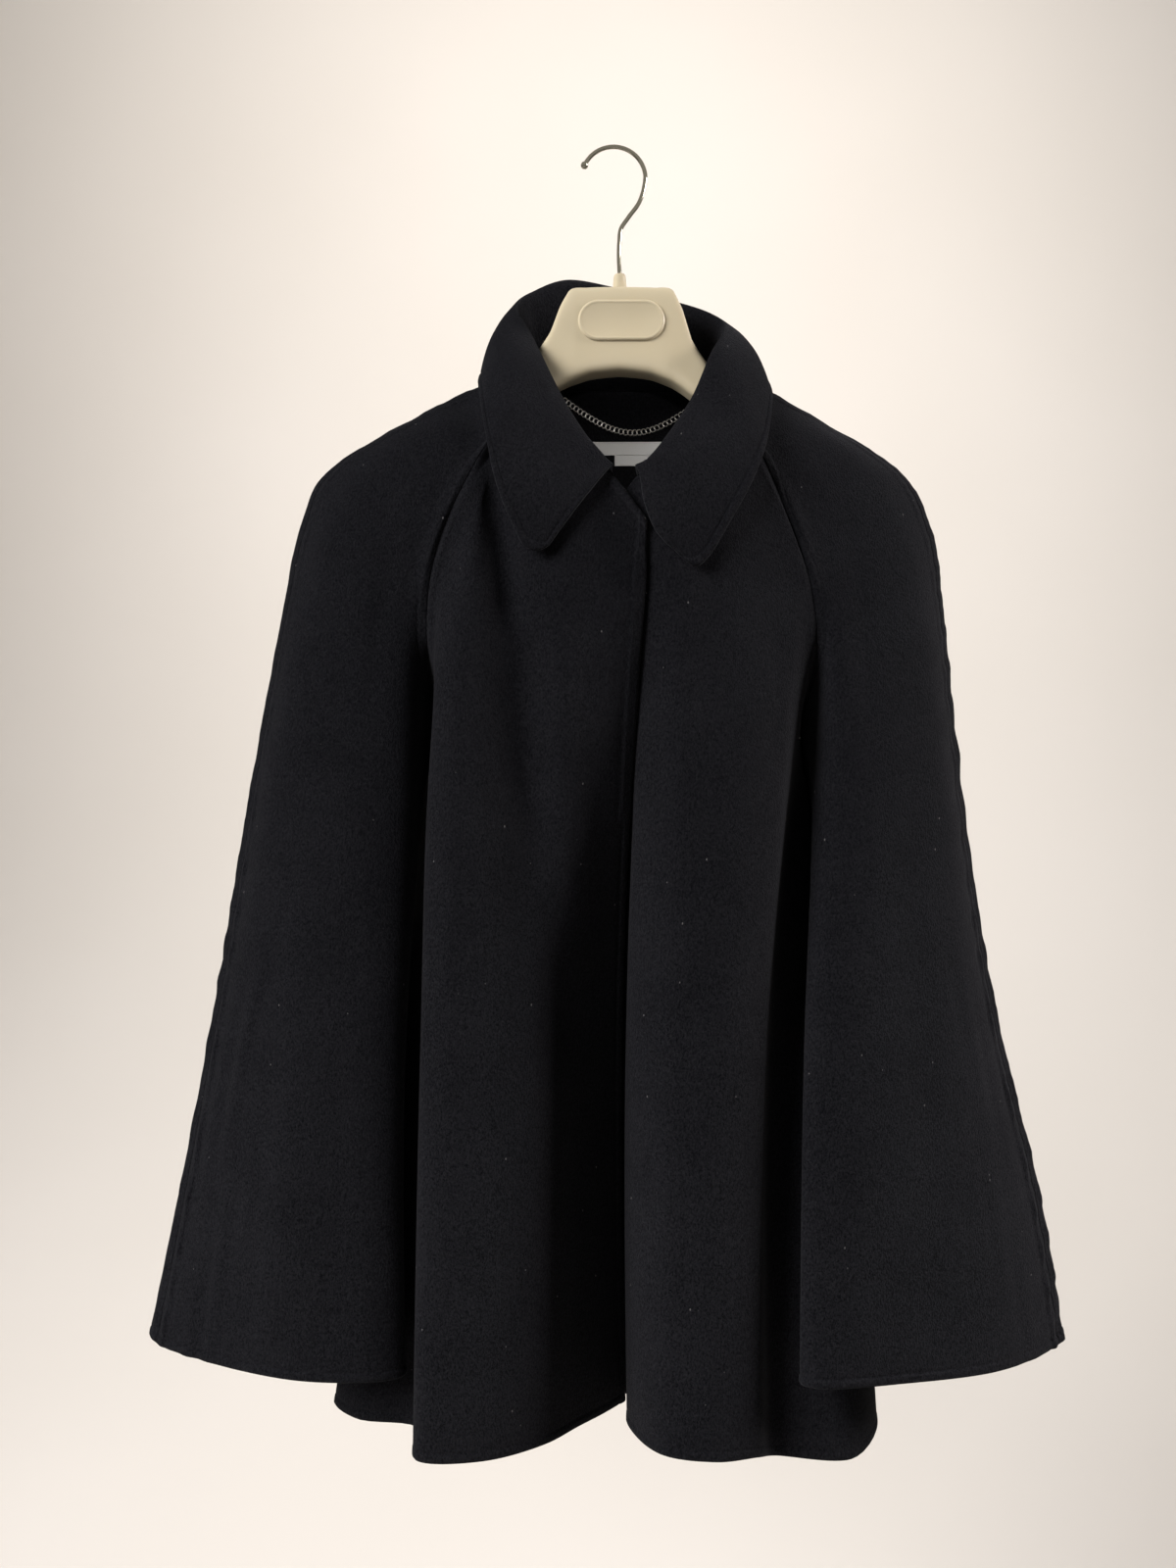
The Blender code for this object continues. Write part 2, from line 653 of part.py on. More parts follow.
def collar_wall(panels):
    """The collar: up from the neck seam, over the roll line and down to its edge."""
    points, normals, up = neckline(panels)
    run = np.concatenate([[0], np.cumsum(np.linalg.norm(np.diff(points, axis=0), axis=1))])
    share = run / run[-1]
    keep = [0]
    for k in range(1, len(share) - 1):
        if share[k] - share[keep[-1]] > COLLAR_SPACING:
            keep.append(k)
    keep.append(len(share) - 1)
    share, points, normals, up = share[keep], points[keep], normals[keep], up[keep]
    marks = [row[0] for row in COLLAR]
    roll = through(marks, [row[1] for row in COLLAR], share)
    edge = through(marks, [row[2] for row in COLLAR], share)
    foot_out = points + up * COLLAR_GAP
    foot = foot_out - normals * CLOTH
    along = unit(np.gradient(roll, axis=0))
    stand = roll - foot
    fall = edge - roll
    stand = unit(stand - along * (stand * along).sum(1, keepdims=True))
    fall = unit(fall - along * (fall * along).sum(1, keepdims=True))
    top = unit(stand - fall)
    out = unit(np.cross(along, top))
    centre = np.array([6, 0, 0])
    side = np.sign(((roll - centre)[:, :2] * out[:, :2]).sum(1, keepdims=True))
    out = out * side
    back_share = np.sin(np.pi * np.clip(share, 0, 1))[:, None] ** ROLL_SPREAD
    radius = ROLL_RADIUS_FRONT + (ROLL_RADIUS_BACK - ROLL_RADIUS_FRONT) * back_share
    rise = roll - top * radius
    bow = np.zeros_like(roll)
    bow[:, 0] = -LEFT_END_BOW * np.clip(1 - (1 - share) / LEFT_END_SHARE, 0, 1)
    leaf_in, leaf_out = rise - out * radius, rise + out * radius
    third = (edge - leaf_out) / 3
    bulge = out * LEAF_BULGE
    sections = np.array([
        foot,
        foot + (leaf_in - foot) * 0.5,
        leaf_in,
        roll,
        leaf_out,
        leaf_out + third + bulge + bow * 0.8,
        leaf_out + 2 * third + bulge * 0.8 + bow,
        edge,
    ])
    grid, slope = [], []
    for column in range(len(share)):
        chain = sections[:, column]
        gaps = np.maximum(np.linalg.norm(np.diff(chain, axis=0), axis=1) ** 0.5, 0.2)
        ts = np.concatenate([[0], np.cumsum(gaps)])
        at = np.array(
            [ts[k] + gaps[k] * j / n for k, n in enumerate(COLLAR_STEPS) for j in range(n)]
            + [ts[-1]]
        )
        near = 1e-4 * ts[-1]
        grid.append(through(ts, chain, at))
        slope.append(through(ts, chain, at + near) - through(ts, chain, at - near))
    grid, slope = np.array(grid), unit(np.array(slope))
    length = np.gradient(grid, axis=0)
    normal = unit(np.cross(slope, length))
    outward = np.sign((normal[:, sum(COLLAR_STEPS[:3])] * top).sum(1))
    normal = normal * np.median(outward)
    normal[:, 0] = -normals
    outer = grid
    inner = grid - normal * CLOTH
    inner[:, 0] = foot_out
    return outer, inner


def back_inside(panel, x, z, depth):
    """A point on the inside of the back at x and z, moved in by a depth."""
    grid = panel.inner
    at_z = np.array([
        [np.interp(-z, -grid[:, j, 2], grid[:, j, k]) for k in range(3)]
        for j in range(grid.shape[1])
    ])
    order = np.argsort(at_z[:, 0])
    return np.array([x, np.interp(x, at_z[order, 0], at_z[order, 1]) - depth, z])


def label_wall(panel, x_from, x_to, z_from, z_to, layer):
    """A woven label laid on the inside of the back."""
    xs = np.linspace(x_from, x_to, 9)
    zs = np.linspace(z_to, z_from, 3)
    depth = SEAM_GAP + layer * (LABEL + SEAM_GAP)
    near = np.array([[back_inside(panel, x, z, depth) for x in xs] for z in zs])
    return near - np.array([0, LABEL, 0]), near


def tube(name, points, radius, sides, radii=None):
    """A round bar through points, as a curve made into a mesh."""
    curve = bpy.data.curves.new(name, "CURVE")
    curve.dimensions = "3D"
    curve.bevel_depth = radius * MM
    curve.bevel_resolution = sides // 2 - 2
    curve.use_fill_caps = True
    spline = curve.splines.new("POLY")
    spline.points.add(len(points) - 1)
    for k, point in enumerate(points):
        spline.points[k].co = (*(c * MM for c in point), 1)
        spline.points[k].radius = radii[k] if radii is not None else 1
    holder = bpy.data.objects.new(name + "_path", curve)
    bpy.context.scene.collection.objects.link(holder)
    graph = bpy.context.evaluated_depsgraph_get()
    mesh = bpy.data.meshes.new_from_object(holder.evaluated_get(graph))
    bpy.data.objects.remove(holder)
    build = bmesh.new()
    build.from_mesh(mesh)
    bmesh.ops.remove_doubles(build, verts=build.verts, dist=1e-6)
    bmesh.ops.recalc_face_normals(build, faces=build.faces)
    build.to_mesh(mesh)
    build.free()
    return mesh


def hook_mesh():
    """The wire hook: its arc, the bend back to the middle, and the ball on its tip."""
    start, stop = HOOK_ARC_ENDS
    arc = [
        (
            HOOK_ARC_CENTRE[0] + HOOK_ARC_RADIUS * math.cos(math.radians(a)),
            HOOK_ARC_CENTRE[1] + HOOK_ARC_RADIUS * math.sin(math.radians(a)),
        )
        for a in np.linspace(start, stop, 13)
    ]
    path = arc + list(HOOK_NECK)
    run = np.concatenate([[0], np.cumsum(np.linalg.norm(np.diff(path, axis=0), axis=1))])
    smooth = through(run, path, np.linspace(0, run[-1], 32))
    points = [(x, 0, z) for x, z in smooth]
    mesh = tube("hanger_hook", points, WIRE / 2, 8)
    ball = bmesh.new()
    bmesh.ops.create_uvsphere(ball, u_segments=12, v_segments=8, radius=BALL / 2 * MM)
    bmesh.ops.translate(ball, verts=ball.verts, vec=[c * MM for c in points[0]])
    ball_mesh = bpy.data.meshes.new("hook_ball")
    ball.to_mesh(ball_mesh)
    ball.free()
    return mesh, ball_mesh


def arm_stations(panel, arm):
    """An arm's stations, with its ridge hung just under the fold of the shoulder."""
    fold = panel.inner[:, SLEEVE_BACK_STEPS[0]]
    order = np.argsort(fold[:, 0])
    return [
        (x, np.interp(x, fold[order, 0], fold[order, 2]) - below, tall, half)
        for x, below, tall, half in arm
    ]


def hanger_section(x, ridge, tall, half):
    """The outline of the hanger at x: square in the plate, and round in the arms."""
    middle = ridge - tall / 2
    arm = min(1, max(0, (abs(x - PLATE_MIDDLE) - PLATE_HALF) / PLATE_BLEND))
    power = PLATE_POWER + (1 - PLATE_POWER) * arm
    points = []
    for k in range(HANGER_SIDES):
        angle = 2 * math.pi * (k + 0.5) / HANGER_SIDES
        c, s = math.cos(angle), math.sin(angle)
        y = ARM_BACK * arm + half * math.copysign(abs(c) ** power, c)
        z = middle + tall / 2 * math.copysign(abs(s) ** power, s)
        points.append((x, y, z))
    return points


def hanger_mesh(panels):
    """The hanger's body: sections joined along X, and closed at both ends."""
    build = bmesh.new()
    stations = [
        *arm_stations(panels["sleeve_right_back"], ARM_RIGHT),
        *PLATE,
        *arm_stations(panels["sleeve_left_back"], ARM_LEFT),
    ]
    rings = [
        [build.verts.new([c * MM for c in point]) for point in hanger_section(*station)]
        for station in stations
    ]
    for one, two in zip(rings, rings[1:]):
        for k in range(HANGER_SIDES):
            m = (k + 1) % HANGER_SIDES
            build.faces.new([one[k], one[m], two[m], two[k]])
    build.faces.new(rings[0])
    build.faces.new(rings[-1])
    bmesh.ops.recalc_face_normals(build, faces=build.faces)
    mesh = bpy.data.meshes.new("hanger_body")
    build.to_mesh(mesh)
    build.free()
    return mesh


def badge_mesh():
    """The raised stadium on the hanger's plate, with a slanted rim."""
    straight = (BADGE_WIDTH - BADGE_HEIGHT) / 2
    near = -PLATE_DEPTH - SEAM_GAP
    rings = []
    build = bmesh.new()
    for radius, y in (
        (BADGE_HEIGHT / 2, near),
        (BADGE_HEIGHT / 2 - BADGE_RIM, near - BADGE_RAISED),
    ):
        ring = []
        for centre, first in ((straight, -90), (-straight, 90)):
            for k in range(9):
                angle = math.radians(first + 180 * k / 8)
                x = BADGE_CENTRE[0] + centre + radius * math.cos(angle)
                z = BADGE_CENTRE[1] + radius * math.sin(angle)
                ring.append(build.verts.new((x * MM, y * MM, z * MM)))
        rings.append(ring)
    for k in range(len(rings[0])):
        m = (k + 1) % len(rings[0])
        build.faces.new([rings[0][k], rings[0][m], rings[1][m], rings[1][k]])
    build.faces.new(rings[0])
    build.faces.new(rings[1])
    bmesh.ops.recalc_face_normals(build, faces=build.faces)
    mesh = bpy.data.meshes.new("hanger_badge")
    build.to_mesh(mesh)
    build.free()
    return mesh


def boss_mesh():
    """The turned ferrule that the hook's wire stands in."""
    build = bmesh.new()
    bmesh.ops.create_cone(
        build, cap_ends=True, segments=20, radius1=BOSS_RADII[0] * MM,
        radius2=BOSS_RADII[1] * MM, depth=(BOSS_TOP - BOSS_BOTTOM) * MM,
    )
    height = (BOSS_TOP + BOSS_BOTTOM) / 2
    bmesh.ops.translate(build, verts=build.verts, vec=(HOOK_X * MM, 0, height * MM))
    mesh = bpy.data.meshes.new("hanger_boss")
    build.to_mesh(mesh)
    build.free()
    return mesh


def chain_mesh(panel):
    """The metal hanger loop at the back neck, as one flattened bar with its links."""
    (x0, z0), (x1, z1) = CHAIN_ENDS
    steps = 2 * CHAIN_LINKS + 1
    depth = SEAM_GAP + CHAIN_WIDTH * CHAIN_FLAT / 2
    points, radii = [], []
    curve = through(
        [0, (CHAIN_LOW[0] - x0) / (x1 - x0), 1], [(z0,), (CHAIN_LOW[1],), (z1,)],
        np.linspace(0, 1, steps),
    )[:, 0]
    for k in range(steps):
        x = x0 + (x1 - x0) * k / (steps - 1)
        points.append(back_inside(panel, x, curve[k], 0))
        radii.append(1 if k % 2 else CHAIN_WAIST / CHAIN_WIDTH)
    mesh = tube("neck_chain", points, CHAIN_WIDTH / 2, 6, radii)
    home = np.array(points) * MM
    for vertex in mesh.vertices:
        nearest = home[np.argmin(abs(home[:, 0] - vertex.co.x))]
        vertex.co.y = nearest[1] + (vertex.co.y - nearest[1]) * CHAIN_FLAT - depth * MM
    return mesh


def join_by_boolean(piece, other_mesh, helpers):
    """One solid of a piece and another mesh that overlaps it."""
    other = bpy.data.objects.new(piece.name + "_cutter", other_mesh)
    other.hide_render = True
    other.display_type = "WIRE"
    helpers.objects.link(other)
    union = piece.modifiers.new("join", "BOOLEAN")
    union.operation = "UNION"
    union.object = other


def main():
    clear_scene()
    jacket = bpy.data.collections.new("wool_jacket_on_hanger")
    helpers = bpy.data.collections.new("helpers")
    for collection in (jacket, helpers):
        bpy.context.scene.collection.children.link(collection)
    panels = cloth_panels()
    for name, panel in panels.items():
        finish(name, wall_mesh(name, panel.outer, panel.inner), *BLACK_WOOL, jacket)
    finish("collar", wall_mesh("collar", *collar_wall(panels)), *BLACK_WOOL, jacket)
    for name, sizes in LABELS.items():
        mesh = wall_mesh(name, *label_wall(panels["back"], *sizes))
        finish(name, mesh, *WOVEN_LABEL, jacket)
    finish("neck_chain", chain_mesh(panels["back"]), *CHROME, jacket)
    finish("hanger_body", hanger_mesh(panels), *CREAM_PLASTIC, jacket)
    finish("hanger_badge", badge_mesh(), *CREAM_PLASTIC, jacket)
    finish("hanger_boss", boss_mesh(), *CREAM_PLASTIC, jacket)
    wire, ball = hook_mesh()
    hook = finish("hanger_hook", wire, *CHROME, jacket)
    join_by_boolean(hook, ball, helpers)


main()
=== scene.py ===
"""A black cape-style wool jacket on a cream plastic hanger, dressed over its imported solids.

Metres, +Z up. The origin is the inner top of the hanger's hook, and the front faces -Y.
Places on the cloth are in millimetres, and are scaled where a mesh is made.
"""

import math

import bmesh
import bpy
import numpy as np
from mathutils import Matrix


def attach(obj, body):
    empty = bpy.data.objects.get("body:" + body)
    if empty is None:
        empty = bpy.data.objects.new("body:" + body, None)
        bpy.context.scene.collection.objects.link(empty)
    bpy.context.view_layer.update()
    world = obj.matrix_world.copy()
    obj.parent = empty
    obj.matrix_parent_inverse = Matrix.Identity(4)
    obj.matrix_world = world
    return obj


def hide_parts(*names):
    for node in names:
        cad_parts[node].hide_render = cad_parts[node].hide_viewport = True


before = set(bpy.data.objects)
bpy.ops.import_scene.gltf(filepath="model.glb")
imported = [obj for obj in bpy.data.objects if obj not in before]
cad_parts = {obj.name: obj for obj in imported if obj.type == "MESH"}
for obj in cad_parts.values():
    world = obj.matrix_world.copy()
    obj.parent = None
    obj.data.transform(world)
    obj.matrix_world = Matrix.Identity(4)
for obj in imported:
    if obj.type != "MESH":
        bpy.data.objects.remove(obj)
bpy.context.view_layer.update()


# ------------------------------
# Camera. A phone held at chest height, square to the jacket, 0.9 m in front.

camera = bpy.data.cameras.new("front_camera")
camera.lens = 30
camera.sensor_width = 36
camera_object = bpy.data.objects.new("front_camera", camera)
camera_object.location = (-0.0204, -0.9067, -0.4434)
camera_object.rotation_euler = (math.radians(90), 0, 0)
bpy.context.scene.collection.objects.link(camera_object)
bpy.context.scene.camera = camera_object


# ------------------------------
# The wool. A double-face cloth, fulled and brushed to a short nap, dyed black.
# The nap lies downwards in small tufts, and holds a few specks of lint.


class NodeBench:
    """Adds nodes to one tree, each wired as it is made."""

    def __init__(self, tree):
        self.tree = tree

    def add(self, kind, settings=None, **inputs):
        node = self.tree.nodes.new(kind)
        for key, value in (settings or {}).items():
            setattr(node, key, value)
        for key, value in inputs.items():
            self.feed(node.inputs[key.replace("_", " ")], value)
        return node

    def feed(self, socket, value):
        if isinstance(value, bpy.types.NodeSocket):
            self.tree.links.new(value, socket)
        else:
            socket.default_value = value

    def sums(self, operation, first, second):
        node = self.tree.nodes.new("ShaderNodeMath")
        node.operation = operation
        self.feed(node.inputs[0], first)
        self.feed(node.inputs[1], second)
        return node.outputs[0]

    def mixed(self, first, share_first, second, share_second):
        """The sum of two values, each times its share."""
        first, second = (
            self.sums("MULTIPLY", value, share)
            for value, share in ((first, share_first), (second, share_second))
        )
        return self.sums("ADD", first, second)


class PaintBench(NodeBench):
    """Builds one material, whose patterns lie on Object coordinates."""

    def __init__(self, name):
        self.material = bpy.data.materials.new(name)
        self.material.use_nodes = True
        super().__init__(self.material.node_tree)
        self.shader = self.tree.nodes["Principled BSDF"]
        self.place = self.add("ShaderNodeTexCoord").outputs["Object"]

    def noise(self, scale, detail, roughness=0.5, place=None):
        return self.add(
            "ShaderNodeTexNoise", Vector=place or self.place, Scale=scale, Detail=detail,
            Roughness=roughness,
        ).outputs["Fac"]

    def ranged(self, value, **limits):
        return self.add("ShaderNodeMapRange", Value=value, **limits).outputs["Result"]

    def blend(self, share, low, high):
        node = self.tree.nodes.new("ShaderNodeMix")
        node.data_type = "RGBA"
        for label, value in (("Factor", share), ("A", low), ("B", high)):
            self.feed(node.inputs[label], value)
        return node.outputs["Result"]

    def paint(self, **inputs):
        for key, value in inputs.items():
            self.feed(self.shader.inputs[key.replace("_", " ")], value)
        return self.material

    def finish(self, height, strength, distance, **inputs):
        """Feeds the shader, with a bump of the given height map."""
        bump = self.add("ShaderNodeBump", Strength=strength, Distance=distance, Height=height)
        return self.paint(Normal=bump.outputs["Normal"], **inputs)


def black_wool(name, dark, light):
    bench = PaintBench(name)
    down_the_nap = bench.add(
        "ShaderNodeMapping", Vector=bench.place, Scale=(1, 1, 0.55)
    ).outputs["Vector"]
    fibre = bench.noise(scale=2000, detail=3, roughness=0.65, place=down_the_nap)
    tuft = bench.noise(scale=960, detail=2, roughness=0.6, place=down_the_nap)
    pressing = bench.noise(scale=22, detail=3)
    tone = bench.mixed(bench.mixed(tuft, 0.5, fibre, 0.5), 1, pressing, 0.07)
    tone = bench.ranged(tone, From_Min=0.425, From_Max=0.655)
    # Painted shade: the cloth's colour is darker towards the top, fading out towards the hem,
    # mixed with the pressing's random tone.
    height_up = bench.add("ShaderNodeSeparateXYZ", Vector=bench.place).outputs["Z"]
    painted_shade_by_height = bench.ranged(height_up, From_Min=-0.42, From_Max=-0.86)
    painted_shade_by_height = bench.mixed(painted_shade_by_height, 1, pressing, 0.5)
    upper = [0.68 * c for c in light]
    cloth = bench.blend(tone, (*dark, 1), bench.blend(painted_shade_by_height, (*upper, 1), (*light, 1)))
    cell = bench.add("ShaderNodeTexVoronoi", Vector=down_the_nap, Scale=88).outputs
    speck = bench.sums("LESS_THAN", cell["Distance"], 0.038)
    chance = bench.add("ShaderNodeSeparateColor", Color=cell["Color"]).outputs[0]
    lint = bench.sums("MULTIPLY", speck, bench.sums("GREATER_THAN", chance, 0.36))
    colour = bench.blend(bench.sums("MULTIPLY", lint, 0.65), cloth, (0.15, 0.14, 0.14, 1))
    return bench.finish(
        bench.mixed(tuft, 0.65, fibre, 0.35), 0.75, 0.0013,
        Base_Color=colour, Roughness=0.95, Specular_IOR_Level=0.03, Sheen_Weight=0.045,
        Sheen_Roughness=0.38, Sheen_Tint=(0.75, 0.74, 0.78, 1),
    )


WOOL = black_wool("black_wool", (0.0034, 0.0034, 0.0042), (0.0165, 0.0162, 0.0184))


# ------------------------------
# The drape. The jacket hangs from the hanger in deep folds. Each line runs down the
# cloth from the neck to the hem: a seam, an edge, or the crest or hollow of a fold.
# Sewn pieces share the line of their seam, so all the lines are laid out together.

# How far down the cloth each level is, as a share
LEVELS = dict(
    neck=0.0, slope=0.065, cap=0.13, delt=0.19, chest=0.26, yoke=0.30, arm=0.36, pit=0.40,
    rib=0.45, waist=0.66, knee=0.82, hem=1.0,
)
LEVEL_Z = dict(chest=-320, yoke=-352, arm=-400, pit=-428, rib=-463, waist=-610, knee=-721)
HEM_ROWS = 1 - np.array([13, 10, 8.6, 7.6, 6.8, 6, 5.2, 4.2, 3, 2, 1.1, 0.5, 0]) / 700
SHARES = np.concatenate(
    [np.linspace(0, 0.36, 73), np.linspace(0.36, 0.98, 108)[1:-1], HEM_ROWS]
)
ARM_ROW = 72

# Four pieces meet at each underarm point.
UNDERARM_RIGHT = (-125, 15)
UNDERARM_LEFT = (127, 15)

# Seams above the underarm. Where a place has two numbers, its height is LEVEL_Z's.
UPPER_SEAMS = {
    "raglan_front_right": dict(
        neck=(-62, -36, -196), cap=(-95.5, -41, -231), delt=(-115, -42, -272),
        chest=(-126.5, -42), yoke=(-127.5, -36), arm=UNDERARM_RIGHT,
    ),
    "raglan_back_right": dict(
        neck=(-66, 34, -160), cap=(-99, 43, -218), delt=(-114, 45, -268),
        chest=(-125, 44), arm=UNDERARM_RIGHT,
    ),
    "raglan_front_left": dict(
        neck=(70, -36, -199), cap=(97.5, -41, -231), delt=(115, -42, -275),
        chest=(129, -42), yoke=(132, -37), arm=UNDERARM_LEFT,
    ),
    "raglan_back_left": dict(
        neck=(76, 34, -162), cap=(104, 43, -218), delt=(118, 45, -268),
        chest=(127, 44), arm=UNDERARM_LEFT,
    ),
}

# Seams below the underarm
LOWER_SEAMS = {
    "side_right": dict(
        arm=UNDERARM_RIGHT, pit=(-127.5, 15), rib=(-135.5, 15), waist=(-161, 13),
        hem=(-198, 8, -876),
    ),
    "side_left": dict(
        arm=UNDERARM_LEFT, pit=(130, 15), rib=(136, 14), waist=(158, 3),
        hem=(178, -10, -881),
    ),
    "underarm_right": dict(
        arm=UNDERARM_RIGHT, pit=(-131, 10), rib=(-138, -4), waist=(-146, -28),
        hem=(-143, -44, -828),
    ),
    "underarm_left": dict(
        arm=UNDERARM_LEFT, pit=(132.3, 6), rib=(134, -15), waist=(125, -48),
        hem=(119, -62, -828),
    ),
}

# Lines that run all the way: the overarm seams, the front edges and the folds
OVERARM_RIGHT = dict(
    neck=(-84, -6, -165), slope=(-137, -8, -190.5), cap=(-198, -9, -230),
    delt=(-215.5, -9, -270), chest=(-226.5, -9), arm=(-241, -10),
    waist=(-276, -11), hem=(-316, -13, -826),
)
OVERARM_LEFT = dict(
    neck=(92, -6, -167), slope=(132, -8, -189.5), cap=(193, -9, -230),
    delt=(213, -9, -270), chest=(221, -9), arm=(229, -10),
    waist=(259, -11), knee=(285, -12), hem=(301, -15, -826),
)


def fold(neck, cap, chest, arm, waist, hem, **between):
    """A fold's places at six levels, with any that it has between them."""
    return dict(neck=neck, cap=cap, chest=chest, arm=arm, waist=waist, hem=hem, **between)


FRONT_RIGHT = {
    "edge": fold(
        (18, -57, -271), (17.5, -57, -292), (17, -56), (11.5, -50), (4, -10), (6, 3, -873),
    ),
    "hollow": fold(
        (-4, -52, -241), (0, -57, -276), (2, -58.5), (-3, -56), (-9, -19.5), (-10, -14, -874),
    ),
    "lobe": fold(
        (-34, -47, -216), (-33, -57, -262), (-36, -61), (-34, -63), (-28, -36), (-26, -31, -874),
        rib=(-33, -59),
    ),
    "furrow": fold(
        (-52, -41, -203.5), (-81, -45, -247.5), (-69, -54), (-62, -54.5), (-56, -63.5),
        (-49, -54, -875), rib=(-59, -55),
    ),
    "crest": fold(
        (-56, -39.2, -200.8), (-86, -45.7, -242), (-97, -59), (-97, -64), (-86, -72),
        (-88, -75, -875),
    ),
    "limb": fold(
        (-58.5, -38.2, -199), (-89, -45.2, -239), (-115, -50), (-120.5, -54), (-127, -62),
        (-130, -74, -875),
    ),
    "tuck": fold(
        (-60, -37.2, -197.8), (-91.3, -44.5, -236.8), (-120.5, -45), (-122.5, -28), (-130, -24),
        (-136, -28, -876), yoke=(-122.5, -42.5), rib=(-127, -29),
    ),
    "side_lobe": fold(
        (-61, -36.6, -197), (-93.5, -43, -234), (-124, -43.7), (-123.7, -6), (-150, -5),
        (-178, -15, -877), yoke=(-125.3, -39.5), rib=(-131, -7),
    ),
}
FRONT_LEFT = {
    "edge": fold(
        (-10, -48, -271), (-11, -49, -292), (-12, -49.5), (-13, -45), (-13, -13), (-10, 11, -872),
    ),
    "under": fold((12, -50, -241), (12, -50, -278), (11, -50), (9, -45.5), (9, -4), (10, 9, -872)),
    "limb": fold(
        (18, -50.5, -236), (20, -54, -272), (23, -55), (15, -51), (5.5, -38), (6, -28, -874),
    ),
    "crest": fold(
        (30, -49.5, -227), (36, -57, -266), (42, -60), (38, -64), (28, -67), (26, -66, -875),
    ),
    "lobe": fold(
        (50, -44.5, -213), (62, -55, -256), (74, -59), (74, -66), (66, -74), (62, -76, -875),
    ),
    "far_limb": fold(
        (64, -39.5, -203.5), (85, -47, -242), (113, -48), (109, -55), (93, -63), (89, -68, -876),
    ),
    "recess": fold(
        (67.5, -37.6, -201), (92, -44, -236), (123, -45), (122, -30), (102, -41), (102, -50, -884),
        yoke=(125, -43),
    ),
    "side_lobe": fold(
        (69, -36.6, -199.6), (95, -43, -233.5), (126.3, -43.7), (125.8, -8), (137, -25),
        (154, -48, -887), yoke=(129, -40.5), rib=(129.5, -12),
    ),
}
SLEEVE_RIGHT_FRONT = {
    "tuck": fold(
        (-63, -35, -195), (-99, -40.5, -230), (-130.5, -42.5), (-129.5, -16), (-140.5, -43),
        (-139.5, -58, -828), yoke=(-130.5, -37), rib=(-133, -25),
    ),
    "limb": fold(
        (-65, -33, -192.5), (-106, -38.5, -229), (-139, -42), (-138, -43), (-146, -54),
        (-152, -66, -828),
    ),
    "crest": fold(
        (-70, -28, -186.5), (-132, -34, -229), (-167, -41), (-172, -47), (-188, -61),
        (-205, -66, -828),
    ),
    "outer": fold(
        (-78, -16, -174), (-172, -25, -231), (-206, -30), (-222, -33), (-246, -40),
        (-270, -42, -827),
    ),
}
SLEEVE_LEFT_FRONT = {
    "tuck": fold(
        (71, -35, -198), (101, -40.5, -230), (132.5, -42.5), (133, -25), (120.5, -57),
        (115.5, -70, -828), yoke=(135, -39), rib=(129.5, -35),
    ),
    "limb": fold(
        (73, -33, -195), (108, -38.5, -229), (139, -43), (139, -44), (128, -65), (126, -77, -828),
    ),
    "crest": fold(
        (78, -28, -188), (133, -34, -229), (166, -41), (168, -48), (175, -66), (180, -70, -828),
    ),
    "outer": fold(
        (86, -16, -176), (170, -25, -231), (202, -30), (212, -33), (232, -41), (252, -50, -828),
    ),
}
SLEEVE_RIGHT_BACK = {
    "outline": fold(
        (-85, 2, -162.5), (-201.5, 0, -228), (-231, 0), (-246, 0), (-281.5, 0),
        (-324, 0, -824), slope=(-137, 1, -188.5), delt=(-220.5, 0, -268),
    ),
    "outer": fold(
        (-81, 14, -161), (-187, 22, -231), (-214, 28), (-226, 31), (-254, 36),
        (-292, 31, -826), slope=(-130, 19, -191), delt=(-205, 26, -272),
    ),
    "crest": fold(
        (-74, 25, -160.5), (-138, 37, -223), (-168, 42), (-176, 46), (-206, 42), (-240, 31, -828),
    ),
    "inner": fold(
        (-68.5, 31.5, -160), (-107, 42, -219), (-137, 43), (-138, 39), (-180, 8), (-203, -8, -828),
        rib=(-149, 36),
    ),
    "tuck": fold(
        (-67, 33, -160), (-102, 42.7, -218), (-130, 43.5), (-130, 30), (-161, -19),
        (-166, -29, -828), pit=(-134, 27), rib=(-140, 22),
    ),
}
SLEEVE_LEFT_BACK = {
    "outline": fold(
        (93, 2, -165), (196.5, 0, -228), (225.5, 0), (233.5, 0), (264.5, 0),
        (308, 0, -824), slope=(133, 1, -187.5), delt=(218, 0, -268), knee=(291.5, 0),
    ),
    "outer": fold(
        (89, 14, -163), (183, 22, -231), (210, 28), (217, 31), (238, 36),
        (276, 31, -826), slope=(127, 19, -190), delt=(202, 26, -272),
    ),
    "crest": fold(
        (82, 25, -162), (137, 37, -223), (166, 42), (170, 46), (192, 40), (228, 30, -828),
    ),
    "inner": fold(
        (78, 31.5, -162), (112, 42, -219), (139, 43), (139, 39), (176, -2), (188, -26, -828),
        rib=(149, 36),
    ),
    "tuck": fold(
        (77, 33, -162), (107, 42.7, -218), (132, 43.5), (131.5, 30), (151, -39), (153, -60, -828),
        pit=(134.5, 27), rib=(139, 21),
    ),
}
